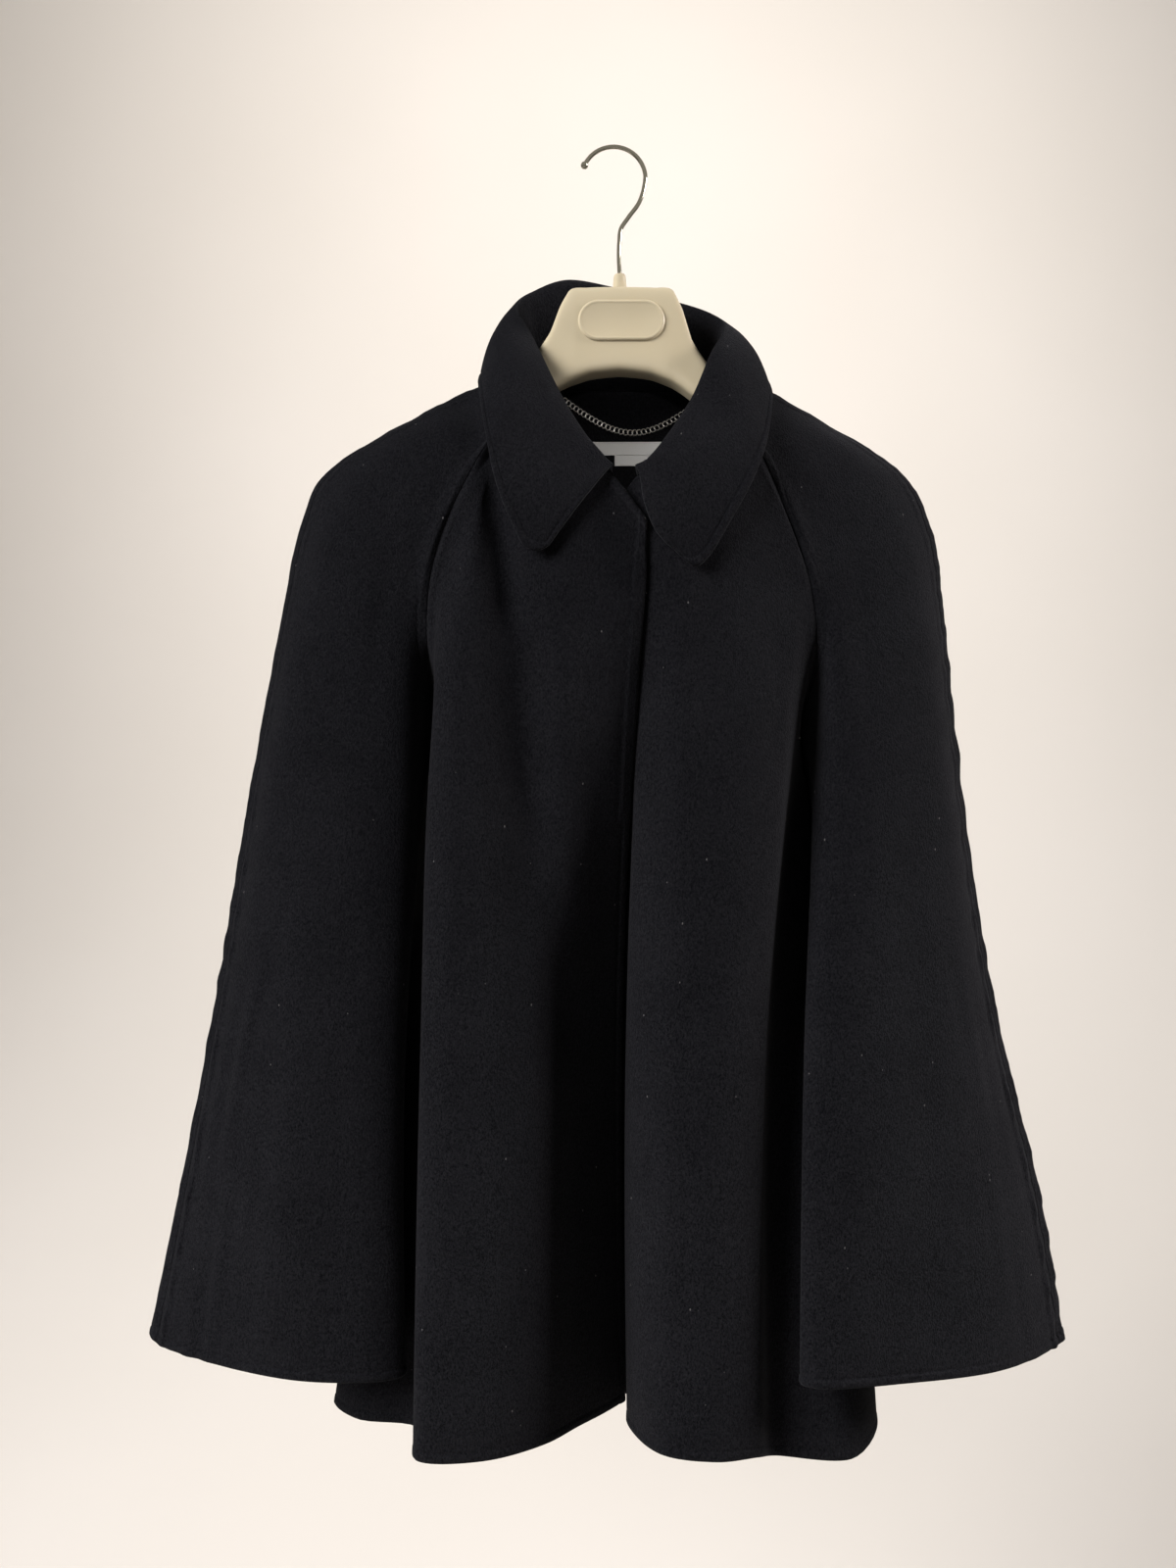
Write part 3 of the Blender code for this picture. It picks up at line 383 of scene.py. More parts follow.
BACK = {
    "side_lobe_right": fold(
        (-64, 35, -160), (-96, 44, -218), (-121, 46), (-124, 37), (-157, 36), (-182, 36, -877),
        pit=(-134.5, 40), rib=(-142, 40),
    ),
    "crest_right": fold(
        (-50, 40, -159), (-72, 49, -216), (-88, 54), (-92, 59), (-104, 70), (-118, 80, -875),
    ),
    "hollow_right": fold(
        (-22, 45, -158), (-32, 50, -215), (-40, 53), (-42, 53), (-48, 50), (-54, 46, -874),
    ),
    "crest_middle": fold((6, 47, -158), (6, 50, -215), (6, 55), (6, 60), (8, 70), (8, 78, -875)),
    "hollow_left": fold(
        (34, 45, -159), (42, 50, -215), (48, 53), (50, 53), (56, 50), (60, 46, -874),
    ),
    "crest_left": fold(
        (60, 40, -160), (80, 49, -216), (94, 54), (96, 59), (104, 68), (110, 78, -875),
    ),
    "side_lobe_left": fold(
        (74, 35, -162), (102, 44, -218), (123, 46), (127, 38), (155, 30), (168, 26, -880),
        pit=(138, 40), rib=(144.5, 39),
    ),
}


def curve_through(ts, points, at):
    """A smooth curve through points given at the parameters ts, read at others."""
    ts, points, at = (np.asarray(x, float) for x in (ts, points, at))
    slope = np.diff(points, axis=0) / np.diff(ts)[:, None]
    gap = np.diff(ts)[:, None]
    if len(ts) == 2:
        tangent = np.array([slope[0], slope[0]])
    else:
        inner = (slope[:-1] * gap[1:] + slope[1:] * gap[:-1]) / (gap[1:] + gap[:-1])
        first = 1.5 * slope[0] - 0.5 * inner[0]
        last = 1.5 * slope[-1] - 0.5 * inner[-1]
        tangent = np.vstack([first, inner, last])
    i = np.clip(np.searchsorted(ts, at, side="right") - 1, 0, len(ts) - 2)
    h = gap[i]
    u = ((at - ts[i]) / (ts[i + 1] - ts[i]))[:, None]
    return (
        (2 * u**3 - 3 * u**2 + 1) * points[i]
        + (u**3 - 2 * u**2 + u) * h * tangent[i]
        + (3 * u**2 - 2 * u**3) * points[i + 1]
        + (u**3 - u**2) * h * tangent[i + 1]
    )


def unit(v):
    return v / np.maximum(np.linalg.norm(v, axis=-1, keepdims=True), 1e-12)


def run_along(points, axis=0):
    """How far each point of a line, or of a grid's rows or columns, is from the first."""
    step = np.linalg.norm(np.diff(points, axis=axis), axis=-1)
    return np.concatenate([0 * np.take(step, [0], axis), np.cumsum(step, axis)], axis)


def line_down(places, rows=SHARES):
    names = [name for name in LEVELS if name in places]
    points = [
        (*places[name], LEVEL_Z[name]) if len(places[name]) == 2 else places[name]
        for name in names
    ]
    return curve_through([LEVELS[name] for name in names], points, rows)


def lines_down(table):
    return [line_down(places) for places in table.values()]


def seam_down(upper, lower):
    above = line_down(UPPER_SEAMS[upper], SHARES[: ARM_ROW + 1])
    return np.vstack([above, line_down(LOWER_SEAMS[lower], SHARES[ARM_ROW:])[1:]])


def changes_at_arm(above, below):
    return np.vstack([above[: ARM_ROW + 1], below[ARM_ROW + 1 :]])


# ------------------------------
# Cutting and pressing. Every piece of the shell is one thickness of double cloth,
# 2.4 mm, with its edges turned in and felled by hand 6 mm from the fold.

CLOTH = 2.4
SEAM_GAP = 0.14
TURNING = 6.0
CLEAR_OF_SEAM, CREASE_FADE, PAST_END = 5, 36, 10
EDGE_MM = np.array([0, 0.5, 1.1, 2, 3, 4.2, 5.2, 6, 6.8, 7.6, 8.6, 10, 12])
NARROW_ROW, FINE_STEPS = 45, 14


def spread(chain, weights, count, least=0.2):
    """Points along one curve: close together near both ends, weighted between."""
    gaps = np.maximum(np.linalg.norm(np.diff(chain, axis=0), axis=1) ** 0.5, least)
    ts = np.concatenate([[0], np.cumsum(gaps)])
    inside, weighed = ts[1:-1], np.concatenate([[0], np.cumsum(weights)])
    fine = np.interp(np.linspace(0, weighed[-1], FINE_STEPS * weighed[-1] + 1), weighed, inside)
    run = run_along(curve_through(ts, chain, fine))
    edge = EDGE_MM * min(1, run[-1] / NARROW_ROW)
    ends = np.interp([edge[-1], run[-1] - edge[-1]], run, fine)
    share = np.interp(ends, inside, weighed)
    middle = np.interp(np.linspace(*share, count + 2)[1:-1], weighed, inside)
    at = np.concatenate(
        [np.interp(edge, run, fine), middle, np.interp((run[-1] - edge)[::-1], run, fine)]
    )
    near = 1e-4 * ts[-1]
    slope = curve_through(ts, chain, at + near) - curve_through(ts, chain, at - near)
    return curve_through(ts, chain, at), unit(slope)


def smooth_step(x):
    x = np.clip(x, 0, 1)
    return x * x * (3 - 2 * x)


def bump_at(x, width):
    return np.exp(-((x / width) ** 2))


def turned_edge(mm, wide=TURNING, high=0.45):
    """The relief of an edge that is turned in and felled: raised, with a ditch after it."""
    raised = high * smooth_step((wide + 0.4 - mm) / 1.5)
    return raised - 0.42 * bump_at(mm - wide - 0.2, 0.9) - 1.05 * bump_at(mm, 0.75)


def plain_seam(mm, deep=0.4):
    return -deep * bump_at(mm, 0.8)


def felled_seam(mm, wide=5.5):
    """The raised band of a seam whose turnings lie on this side of it."""
    raised = 0.5 * smooth_step((wide + 0.8 - mm) / 2.2)
    return raised - 0.2 * bump_at(mm - wide - 0.6, 1.2) - 0.3 * bump_at(mm, 0.4)


def puckers(mm, down, pitch, reach, high, phase):
    """Short waves across a seam, where its stitches draw the cloth up."""
    swing = np.sin(2 * np.pi * down / pitch + phase + 2.2 * np.sin(down / 41 + phase))
    swing = swing * (0.6 + 0.4 * np.sin(down / 63 + 2 * phase))
    return high * swing * bump_at(mm - reach * 0.4, reach)


def placed(name, mesh, material):
    """An object at the origin that holds a finished mesh."""
    mesh.materials.append(material)
    mesh.shade_smooth()
    piece = bpy.data.objects.new(name, mesh)
    bpy.context.scene.collection.objects.link(piece)
    return piece


def dress(piece, node):
    """Puts a finished piece in its node's place."""
    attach(piece, "root")
    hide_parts(node)


def dress_in_wool(piece, node):
    """Dresses a cloth node."""
    dress(piece, node)


def wall_of_cloth(name, outer, inner, material):
    """A closed wall between the cloth's two faces, given in millimetres."""
    rows, columns = outer.shape[:2]
    index = np.arange(rows * columns).reshape(rows, columns)
    a, b, c, d = index[:-1, :-1], index[:-1, 1:], index[1:, 1:], index[1:, :-1]
    front = np.stack([a, b, c, d], -1).reshape(-1, 4)
    rim = np.concatenate([index[0, :-1], index[:-1, -1], index[-1, :0:-1], index[:0:-1, 0]])
    step = np.roll(rim, -1)
    off = rows * columns
    faces = np.concatenate([
        front, front[:, ::-1] + off, np.stack([step, rim, rim + off, step + off], -1)
    ])
    points = np.concatenate([outer.reshape(-1, 3), inner.reshape(-1, 3)]) / 1000
    mesh = bpy.data.meshes.new(name)
    mesh.from_pydata(points.tolist(), [], faces.tolist())
    build = bmesh.new()
    build.from_mesh(mesh)
    if build.calc_volume(signed=True) < 0:
        bmesh.ops.reverse_faces(build, faces=build.faces)
    build.to_mesh(mesh)
    build.free()
    return placed(name, mesh, material)


class CutPiece:
    """One piece of the shell, laid over its lines, and then pressed."""

    def __init__(self, lines, weights, before, after, underarms, flip, count):
        chain = np.array([before, *lines, after])
        laid = [spread(chain[:, row], weights, count) for row in range(len(SHARES))]
        self.grid = np.array([points for points, _ in laid])
        slope = np.array([way for _, way in laid])
        down = np.gradient(self.grid, axis=0)
        for column, _ in underarms:
            down[ARM_ROW, column] = self.grid[ARM_ROW, column] - self.grid[ARM_ROW - 1, column]
        normal = unit(np.cross(slope, unit(down))) * (-1 if flip else 1)
        for column, facing in underarms:
            normal[ARM_ROW, column] = unit(np.array([facing, 0, -1]))
        self.normal = normal
        inset = np.zeros_like(self.grid)
        inset[:, 0], inset[:, -1] = slope[:, 0], -slope[:, -1]
        self.face = self.grid + inset * SEAM_GAP / 2
        self.inner = self.face - normal * CLOTH
        # How far each point is from the first line, the last line and the neck
        self.first, self.down = run_along(self.grid, 1), run_along(self.grid)
        self.last = self.first[:, -1:] - self.first
        self.relief = turned_edge(self.down[-1:] - self.down)
        self.fold = np.zeros_like(self.relief)

    def crease(self, table):
        """Soft troughs, or ridges where deep is less than 0, along places in X and Z."""
        x, z = self.grid[..., 0], self.grid[..., 2]
        clear = smooth_step(self.first / CLEAR_OF_SEAM) * smooth_step(self.last / CLEAR_OF_SEAM)
        for wide, deep, *places in table:
            run_x, run_z = np.array(places).T
            away = x - np.interp(-z, -run_z, run_x)
            start, end = run_z[0] + PAST_END - z, z - run_z[-1] + PAST_END
            fade = smooth_step(start / CREASE_FADE) * smooth_step(end / CREASE_FADE)
            self.fold = self.fold - deep * clear * fade * bump_at(away, wide)

    def sew(self, name, node):
        self.inner = self.inner + self.normal * self.fold[..., None]
        outer = self.face + self.normal * (self.relief + self.fold)[..., None]
        piece = wall_of_cloth(name, outer, self.inner, WOOL)
        dress_in_wool(piece, node)


def down_to(level):
    """1 down to a level's share of the length, and 0 below it."""
    return smooth_step((level - SHARES) / 0.03)[:, None]


ABOVE_UNDERARM = down_to(LEVELS["arm"])


def body_seam(piece, mm):
    """The body's side of a seam: hardly sunk along the raglan, and plain down the side."""
    piece.relief += plain_seam(mm, 0.05) * ABOVE_UNDERARM
    piece.relief += plain_seam(mm) * (1 - ABOVE_UNDERARM)


front_right_lines, front_left_lines = lines_down(FRONT_RIGHT), lines_down(FRONT_LEFT)
back_lines = lines_down(BACK)
right_fore_lines, right_hind_lines = map(lines_down, (SLEEVE_RIGHT_FRONT, SLEEVE_RIGHT_BACK))
left_fore_lines, left_hind_lines = map(lines_down, (SLEEVE_LEFT_FRONT, SLEEVE_LEFT_BACK))


# ------------------------------
# Right front. It laps over the left one. Its edge is turned in 9 mm wide as far as the
# hidden closure goes, and from there down both edges sink into the middle fold.

CLOSURE_FOOT = 0.47
LAP_TURNING, LAP_HIGH = 9.0, 0.75
TOP_TURNING, TOP_HIGH, TOP_SWELL = 7.5, 0.9, 1.1
RIGHT_FRONT_CREASES = (
    # wide, deep, places: x, z
    (10, 5.2, (-90, -200), (-84, -247), (-78, -276), (-70, -345)),
    (9, -0.8, (-104, -330), (-108, -470), (-110, -640)),
    (12, 0.9, (-70, -500), (-66, -620), (-62, -800)),
    (8, 0.7, (-22, -300), (-19, -420), (-14, -470)),
)

right_front = CutPiece(
    [*front_right_lines, seam_down("raglan_front_right", "side_right")],
    (2, 2, 3, 2, 2, 2, 1, 1),
    2 * front_right_lines[0] - front_right_lines[1],
    changes_at_arm(right_fore_lines[0], back_lines[0]),
    [(-1, -1)], flip=False, count=84,
)
closure = down_to(CLOSURE_FOOT)
right_front.relief += turned_edge(right_front.first, LAP_TURNING, LAP_HIGH) * closure
right_front.relief += turned_edge(right_front.first) * (1 - closure)
body_seam(right_front, right_front.last)
lap = np.linalg.norm(front_right_lines[1][0] - front_right_lines[0][0])
corner = smooth_step((lap + 5 - right_front.first) / 9)
right_front.relief += corner * (
    turned_edge(right_front.down, TOP_TURNING, TOP_HIGH)
    + TOP_SWELL * bump_at(right_front.down - 3.5, 3.2)
)
right_front.crease(RIGHT_FRONT_CREASES)
right_front.sew("right_front_cloth", "front_right")


# ------------------------------
# Left front. Its edge lies under the right one, and its first fold hangs forward of
# it, as far as the hem. A narrow pleat stands back beside the sleeve.

LEFT_FRONT_CREASES = (
    # wide, deep, places: x, z
    (9, 1.0, (58, -292), (54, -420), (48, -520)),
    (10, -0.8, (84, -340), (80, -460), (72, -640)),
    (11, 1.0, (48, -560), (44, -700), (42, -850)),
    (7, 1.2, (100, -330), (104, -380), (98, -440)),
)

left_front = CutPiece(
    [*front_left_lines, seam_down("raglan_front_left", "side_left")],
    (1, 1, 2, 3, 3, 2, 2, 1),
    2 * front_left_lines[0] - front_left_lines[1],
    changes_at_arm(left_fore_lines[0], back_lines[-1]),
    [(-1, 1)], flip=True, count=90,
)
left_front.relief += turned_edge(left_front.first)
body_seam(left_front, left_front.last)
left_front.crease(LEFT_FRONT_CREASES)
left_front.sew("left_front_cloth", "front_left")


# ------------------------------
# Back. One piece between the two raglan seams, in three long folds from the blades
# down. The photographed side ends at its neck, so its lower folds follow the front's.

BACK_CREASES = (
    # wide, deep, places: x, z
    (14, 1.4, (-64, -300), (-76, -480), (-86, -700)),
    (12, 0.9, (-24, -230), (-28, -330), (-30, -430)),
    (12, 0.9, (34, -240), (40, -350), (44, -470)),
    (13, 1.3, (74, -290), (82, -470), (88, -680)),
    (14, -1.0, (6, -520), (8, -700), (8, -860)),
)

back_piece = CutPiece(
    [
        seam_down("raglan_back_right", "side_right"), *back_lines,
        seam_down("raglan_back_left", "side_left"),
    ],
    (1, 2, 3, 3, 3, 3, 2, 1),
    changes_at_arm(right_hind_lines[-1], front_right_lines[-1]),
    changes_at_arm(left_hind_lines[-1], front_left_lines[-1]),
    [(0, -1), (-1, 1)], flip=False, count=110,
)
body_seam(back_piece, back_piece.first)
body_seam(back_piece, back_piece.last)
back_piece.crease(BACK_CREASES)
back_piece.sew("back_cloth", "back")


# ------------------------------
# Sleeves. Two halves each, cut in one with the shoulder and flared to a wide bell. The
# raglan seam is pressed towards the sleeve and felled, as a band 5.5 mm wide. The
# overarm seam runs just inside the outline, and its stitches draw the cloth up.

RIGHT_FORE_CREASES = (
    # wide, deep, places: x, z
    (12, 3.0, (-108, -168), (-97, -200), (-89, -232)),
    (8, 0.8, (-150, -262), (-158, -330), (-164, -400)),
    (13, -1.4, (-206, -520), (-216, -660), (-230, -815)),
    (15, 1.1, (-176, -520), (-182, -680), (-190, -815)),
)
LEFT_FORE_CREASES = (
    (8, 0.7, (152, -262), (160, -330), (164, -400)),
    (14, 1.2, (186, -470), (196, -640), (206, -815)),
    (15, -1.1, (150, -540), (152, -680), (156, -815)),
)
HIND_CREASES = (
    (14, 1.2, (-226, -430), (-244, -600), (-262, -790)),
    (14, -0.9, (-160, -460), (-176, -620), (-196, -800)),
    (14, 1.2, (222, -430), (236, -600), (252, -790)),
    (14, -0.9, (158, -460), (170, -620), (186, -800)),
)

RIDGE_AT, DITCH_AT = 6, 10
DRAWN_FROM, RIPPLED_FROM, COMES_IN_OVER = 210, 330, 220
RIPPLES_AT, RIPPLES_WIDE, RIPPLE_PITCH = 38, 26, 21


def sleeve_seam(piece, mm):
    """A felled band on the sleeve above the underarm, and a plain seam below it."""
    piece.relief += felled_seam(mm) * ABOVE_UNDERARM + plain_seam(mm) * (1 - ABOVE_UNDERARM)


def overarm_seam(piece, mm, high, phase, rippled):
    """A felled ridge just inside the outline, drawn up in puckers, with soft ripples."""
    drawn = 0.7 + 0.4 * np.sin(piece.down / 6.1 + 2.5 * np.sin(piece.down / 37 + phase))
    drawn = drawn * (0.3 + 0.7 * smooth_step((piece.down - DRAWN_FROM) / COMES_IN_OVER))
    ridge, ditch = 1.25 * bump_at(mm - RIDGE_AT, 2.3), 0.5 * bump_at(mm - DITCH_AT, 1.8)
    piece.relief += plain_seam(mm, 0.5) + drawn * (ridge - ditch)
    piece.fold += puckers(mm, piece.down, 27, 13, high, phase)
    piece.fold += puckers(mm, piece.down, 11.5, 6, 0.5 * high, 2 * phase)
    soft = smooth_step((piece.down - RIPPLED_FROM) / COMES_IN_OVER)
    soft = soft * bump_at(mm - RIPPLES_AT, RIPPLES_WIDE)
    soft = soft * (0.55 + 0.45 * np.sin(piece.down / 33 + mm / 8 + phase))
    sway = 2.2 * np.sin(piece.down / 71 + phase)
    wave = np.sin(2 * np.pi * mm / RIPPLE_PITCH + sway + phase)
    piece.fold += rippled * soft * wave


def sleeve(
    side, front_line, fore_lines, overarm, hind_lines, back_line, turn, drawn, ripple,
    creases,
):
    """Both halves of a sleeve, between a front's last line and the back's nearest one."""
    fore = CutPiece(
        [seam_down(f"raglan_front_{side}", f"underarm_{side}"), *fore_lines, overarm],
        (1, 2, 3, 3, 2), changes_at_arm(front_line, hind_lines[-1]), hind_lines[0],
        [(0, turn)], flip=turn < 0, count=64,
    )
    hind = CutPiece(
        [overarm, *hind_lines, seam_down(f"raglan_back_{side}", f"underarm_{side}")],
        (1, 3, 3, 3, 2, 1), fore_lines[-1], changes_at_arm(back_line, fore_lines[0]),
        [(-1, turn)], flip=turn < 0, count=72,
    )
    sleeve_seam(fore, fore.first)
    sleeve_seam(hind, hind.last)
    overarm_seam(fore, fore.last, *drawn, ripple)
    overarm_seam(hind, hind.first, *drawn, 0.5)
    fore.crease(creases)
    hind.crease(HIND_CREASES)
    fore.sew(f"{side}_sleeve_front_cloth", f"sleeve_{side}_front")
    hind.sew(f"{side}_sleeve_back_cloth", f"sleeve_{side}_back")
    return fore, hind


right_fore, right_hind = sleeve(
    "right", front_right_lines[-1], right_fore_lines, line_down(OVERARM_RIGHT),
    right_hind_lines, back_lines[0], turn=1, drawn=(0.36, 0.4), ripple=1.0,
    creases=RIGHT_FORE_CREASES,
)
left_fore, left_hind = sleeve(
    "left", front_left_lines[-1], left_fore_lines, line_down(OVERARM_LEFT),
    left_hind_lines, back_lines[-1], turn=-1, drawn=(0.65, 1.2), ripple=0.4,
    creases=LEFT_FORE_CREASES,
)


# ------------------------------
# Collar. One piece, folded over its roll line, with rounded points. It stands up at the
# back, higher on the wearer's right, and lies open at the front. All its edges are felled.

COLLAR = (
    # share, roll, edge
    (0, (-4, -56, -235), (-45, -65, -289.5)),
    (0.025, (-8, -55, -231), (-53, -65.5, -293)),
    (0.050, (-12, -53.5, -226), (-60.5, -65.5, -290.5)),
    (0.100, (-22, -48, -213), (-69, -65, -276)),
    (0.170, (-37, -37, -186), (-78, -62, -254)),
    (0.250, (-52, -22, -152), (-87, -53, -218)),
    (0.310, (-61, -6, -130), (-94, -28, -180)),
    (0.365, (-70, 10, -109), (-96, 3, -163)),
    (0.420, (-61, 27, -92), (-90, 38, -160)),
    (0.460, (-35, 35, -80), (-48, 58, -165)),
    (0.500, (2, 38, -85), (8, 65, -170)),
    (0.540, (32, 35, -93), (60, 57, -167)),
    (0.580, (57, 27, -103), (96, 38, -164)),
    (0.635, (73, 10, -118), (103, 3, -166)),
    (0.690, (73, -6, -131), (104, -28, -182)),
    (0.750, (63, -22, -151), (98.5, -49, -213)),
    (0.830, (48, -37, -187), (88, -61, -243)),
    (0.900, (30, -48.5, -216), (73, -65, -271)),
    (0.950, (21, -54, -228), (57, -66.5, -297.5)),
    (0.975, (17, -55.5, -232), (50, -67, -303)),
    (1, (10.5, -56.5, -235.5), (41.5, -66.5, -299.5)),
)
ROLL_RADIUS_FRONT, ROLL_RADIUS_BACK = 3.5, 6.5
LEAF_BULGE = 3.5
LEAF_RIPPLE, RIPPLE_IN, RIPPLE_TURNS = 0.4, 24, 41
STAND_HIGH = 18
NECK_MIDDLE = np.array([6, 0, 0])
LEFT_END_BOW, BOWED_SHARE = 9.0, 0.05
COLLAR_GAP = 0.5
COLLAR_ENDS = np.array([0, 1.5, 3, 5.5, 8.5, 12, 15, 18, 21, 25, 30]) / 1000


def round_the_neck():
    """The neck seam from the collar's right end to its left, with its normals and up."""
    def past_lap(piece, lines):
        lap = np.linalg.norm(lines[1][0] - lines[0][0])
        return int(np.argmin(abs(piece.first[0] - lap)))

    forward, backward = slice(1, None), slice(-2, None, -1)
    order = (
        (right_front, slice(past_lap(right_front, front_right_lines), None)),
        (right_fore, forward), (right_hind, forward), (back_piece, forward),
        (left_hind, backward), (left_fore, backward),
        (left_front, slice(-2, past_lap(left_front, front_left_lines) - 1, -1)),
    )
    rows = [
        (grid[0, part], normal[0, part], unit(grid[0, part] - grid[2, part]))
        for grid, normal, part in ((piece.grid, piece.normal, part) for piece, part in order)
    ]
    return [np.concatenate(row) for row in zip(*rows)]


def soften(values, times=6):
    for _ in range(times):
        values[1:-1] = 0.25 * values[:-2] + 0.5 * values[1:-1] + 0.25 * values[2:]
    return unit(values)


def square_to(way, line):
    return unit(way - line * (way * line).sum(1, keepdims=True))


neck, neck_out, neck_up = round_the_neck()
run = run_along(neck)
run /= run[-1]
share = np.concatenate(
    [COLLAR_ENDS, np.linspace(0.03, 0.97, 190)[1:-1], 1 - COLLAR_ENDS[::-1]]
)
foot_out, out_here, up_here = (
    np.array([np.interp(share, run, values[:, k]) for k in range(3)]).T
    for values in (neck, neck_out, neck_up)
)
out_here = unit(out_here)
foot_out = foot_out + unit(up_here) * COLLAR_GAP
foot = foot_out - out_here * CLOTH
marks, rolls, edges = zip(*COLLAR)
roll, leaf_edge = curve_through(marks, rolls, share), curve_through(marks, edges, share)
along = unit(np.gradient(roll, share, axis=0))
top = soften(unit(square_to(roll - foot, along) - square_to(leaf_edge - roll, along)))
out = unit(np.cross(along, top))
away = roll - NECK_MIDDLE
out = soften(out * np.sign((away[:, :2] * out[:, :2]).sum(1, keepdims=True)))
to_back = np.sin(np.pi * share)[:, None] ** 0.7
radius = ROLL_RADIUS_FRONT + (ROLL_RADIUS_BACK - ROLL_RADIUS_FRONT) * to_back
rise = roll - top * radius
leaf_in, leaf_out = rise - out * radius, rise + out * radius
bow = np.zeros_like(roll)
bow[:, 0] = -LEFT_END_BOW * np.clip(1 - (1 - share) / BOWED_SHARE, 0, 1)
third = (leaf_edge - leaf_out) / 3
sections = np.array([
    foot, foot + (leaf_in - foot) * 0.5, leaf_in, roll, leaf_out,
    leaf_out + third + out * LEAF_BULGE + bow * 0.8,
    leaf_out + 2 * third + out * LEAF_BULGE * 0.8 + bow, leaf_edge,
])
laid = []
for chain in sections.transpose(1, 0, 2):
    chain = np.vstack([2 * chain[0] - chain[1], chain, 2 * chain[-1] - chain[-2]])
    laid.append(spread(chain, (1, 1, 3, 3, 1, 2, 2), 44))
collar_grid, collar_way = (np.array(column) for column in zip(*laid))
collar_normal = unit(np.cross(collar_way, np.gradient(collar_grid, axis=0)))
middle_of_roll = int(np.argmax(collar_grid[len(share) // 2, :, 2]))
collar_normal *= np.median(np.sign((collar_normal[:, middle_of_roll] * top).sum(1)))
collar_normal[:, 0] = -out_here
for column in range(1, 5):
    mix = column / 5
    collar_normal[:, column] = unit(-out_here * (1 - mix) + collar_normal[:, column] * mix)
from_foot, from_right = run_along(collar_grid, 1), run_along(collar_grid)
to_edge = from_foot[:, -1:] - from_foot
ends = np.minimum(from_right, from_right[-1:] - from_right)
past_roll = smooth_step((from_foot - STAND_HIGH) / 10)
ripple = LEAF_RIPPLE * np.sin(share * RIPPLE_TURNS)[:, None] * bump_at(to_edge - RIPPLE_IN, 14)
collar_relief = (turned_edge(np.minimum(to_edge, ends)) + ripple) * past_roll
outer = collar_grid + collar_normal * collar_relief[..., None]
inner = collar_grid - collar_normal * CLOTH
inner[:, 0] = foot_out
collar = wall_of_cloth("collar_cloth", outer, inner, WOOL)
dress_in_wool(collar, "collar")


# ------------------------------
# Labels. Two bare tapes of white woven satin on the inside of the back's neck, sewn
# at their ends: a wide one, and a small one under its lower edge.

LABEL_CLEAR, LABEL_STEP = 0.6, 0.8
LABEL_THICK, LABEL_RIPPLE, LABEL_ROWS = 0.45, 0.25, 11
LABELS = (
    # name, node, x from, x to, z from, z to, layer from the cloth
    ("wide_label", "label_main", -20, 46, -204, -194.4, 1),
    ("small_label", "label_small", -1, 29, -211.5, -202.5, 0),
)


def woven_satin():
    bench = PaintBench("woven_satin")
    warp, weft = (
        bench.add(
            "ShaderNodeTexWave", {"bands_direction": way}, Vector=bench.place, Scale=scale,
            Distortion=distortion,
        ).outputs["Fac"]
        for way, scale, distortion in (("X", 420, 0.4), ("Z", 620, 0.3))
    )
    weave = bench.mixed(warp, 0.5, weft, 0.5)
    tone = bench.blend(weave, (0.80, 0.79, 0.78, 1), (0.93, 0.92, 0.90, 1))
    soil = bench.sums("MULTIPLY", bench.noise(90, 3), 0.25)
    colour = bench.blend(soil, tone, (0.78, 0.76, 0.72, 1))
    return bench.finish(
        weave, 0.4, 0.0002, Base_Color=colour, Roughness=0.5, Sheen_Weight=0.2
    )


def inside_the_back(x, z, depth):
    """A point on the inside of the back, moved in from it by a depth."""
    heights = back_piece.inner[:, :, 2].mean(1)
    near = np.interp(-z, -heights, np.arange(len(heights)))
    below, above = int(near), min(int(near) + 1, len(heights) - 1)
    low, high = (
        np.interp(x, back_piece.inner[row, :, 0], back_piece.inner[row, :, 1])
        for row in (below, above)
    )
    return np.array([x, low + (high - low) * (near - below) - depth, z])


SATIN = woven_satin()
for name, node, x_from, x_to, z_from, z_to, layer in LABELS:
    depth = SEAM_GAP + layer * (LABEL_STEP + SEAM_GAP) + LABEL_CLEAR
    xs, zs = np.linspace(x_from, x_to, 67), np.linspace(z_to, z_from, LABEL_ROWS)
    near = np.array([[inside_the_back(x, z, depth) for x in xs] for z in zs])
    looser = np.linspace(0.2, 1, LABEL_ROWS)[:, None]
    near[..., 1] -= LABEL_RIPPLE * np.sin(xs / 5.5)[None, :] * looser
    label = wall_of_cloth(name, near - np.array([0, LABEL_THICK, 0]), near, SATIN)
    dress(label, node)


# ------------------------------
# Neck chain. The jacket's own hanging loop: a curb chain of polished steel, its two
# ends sewn under the collar. The links lie flat, each one half over the next.

CHAIN_PLACES = ((-37, -166), (12, -188), (61, -167))
CHAIN_AHEAD = 2.2
LINK = dict(Pitch=3.3, Long=5.2, Wide=5.0, Wire=1.2)
LINK_ROLL = (90, -24, 20)


def polished(name, colour, roughness, wear):
    bench = PaintBench(name)
    rough = bench.ranged(bench.noise(700, 4), To_Min=roughness, To_Max=roughness + wear)
    return bench.finish(
        bench.noise(160, 2), 0.08, 0.0003, Base_Color=(*colour, 1), Metallic=1.0, Roughness=rough
    )


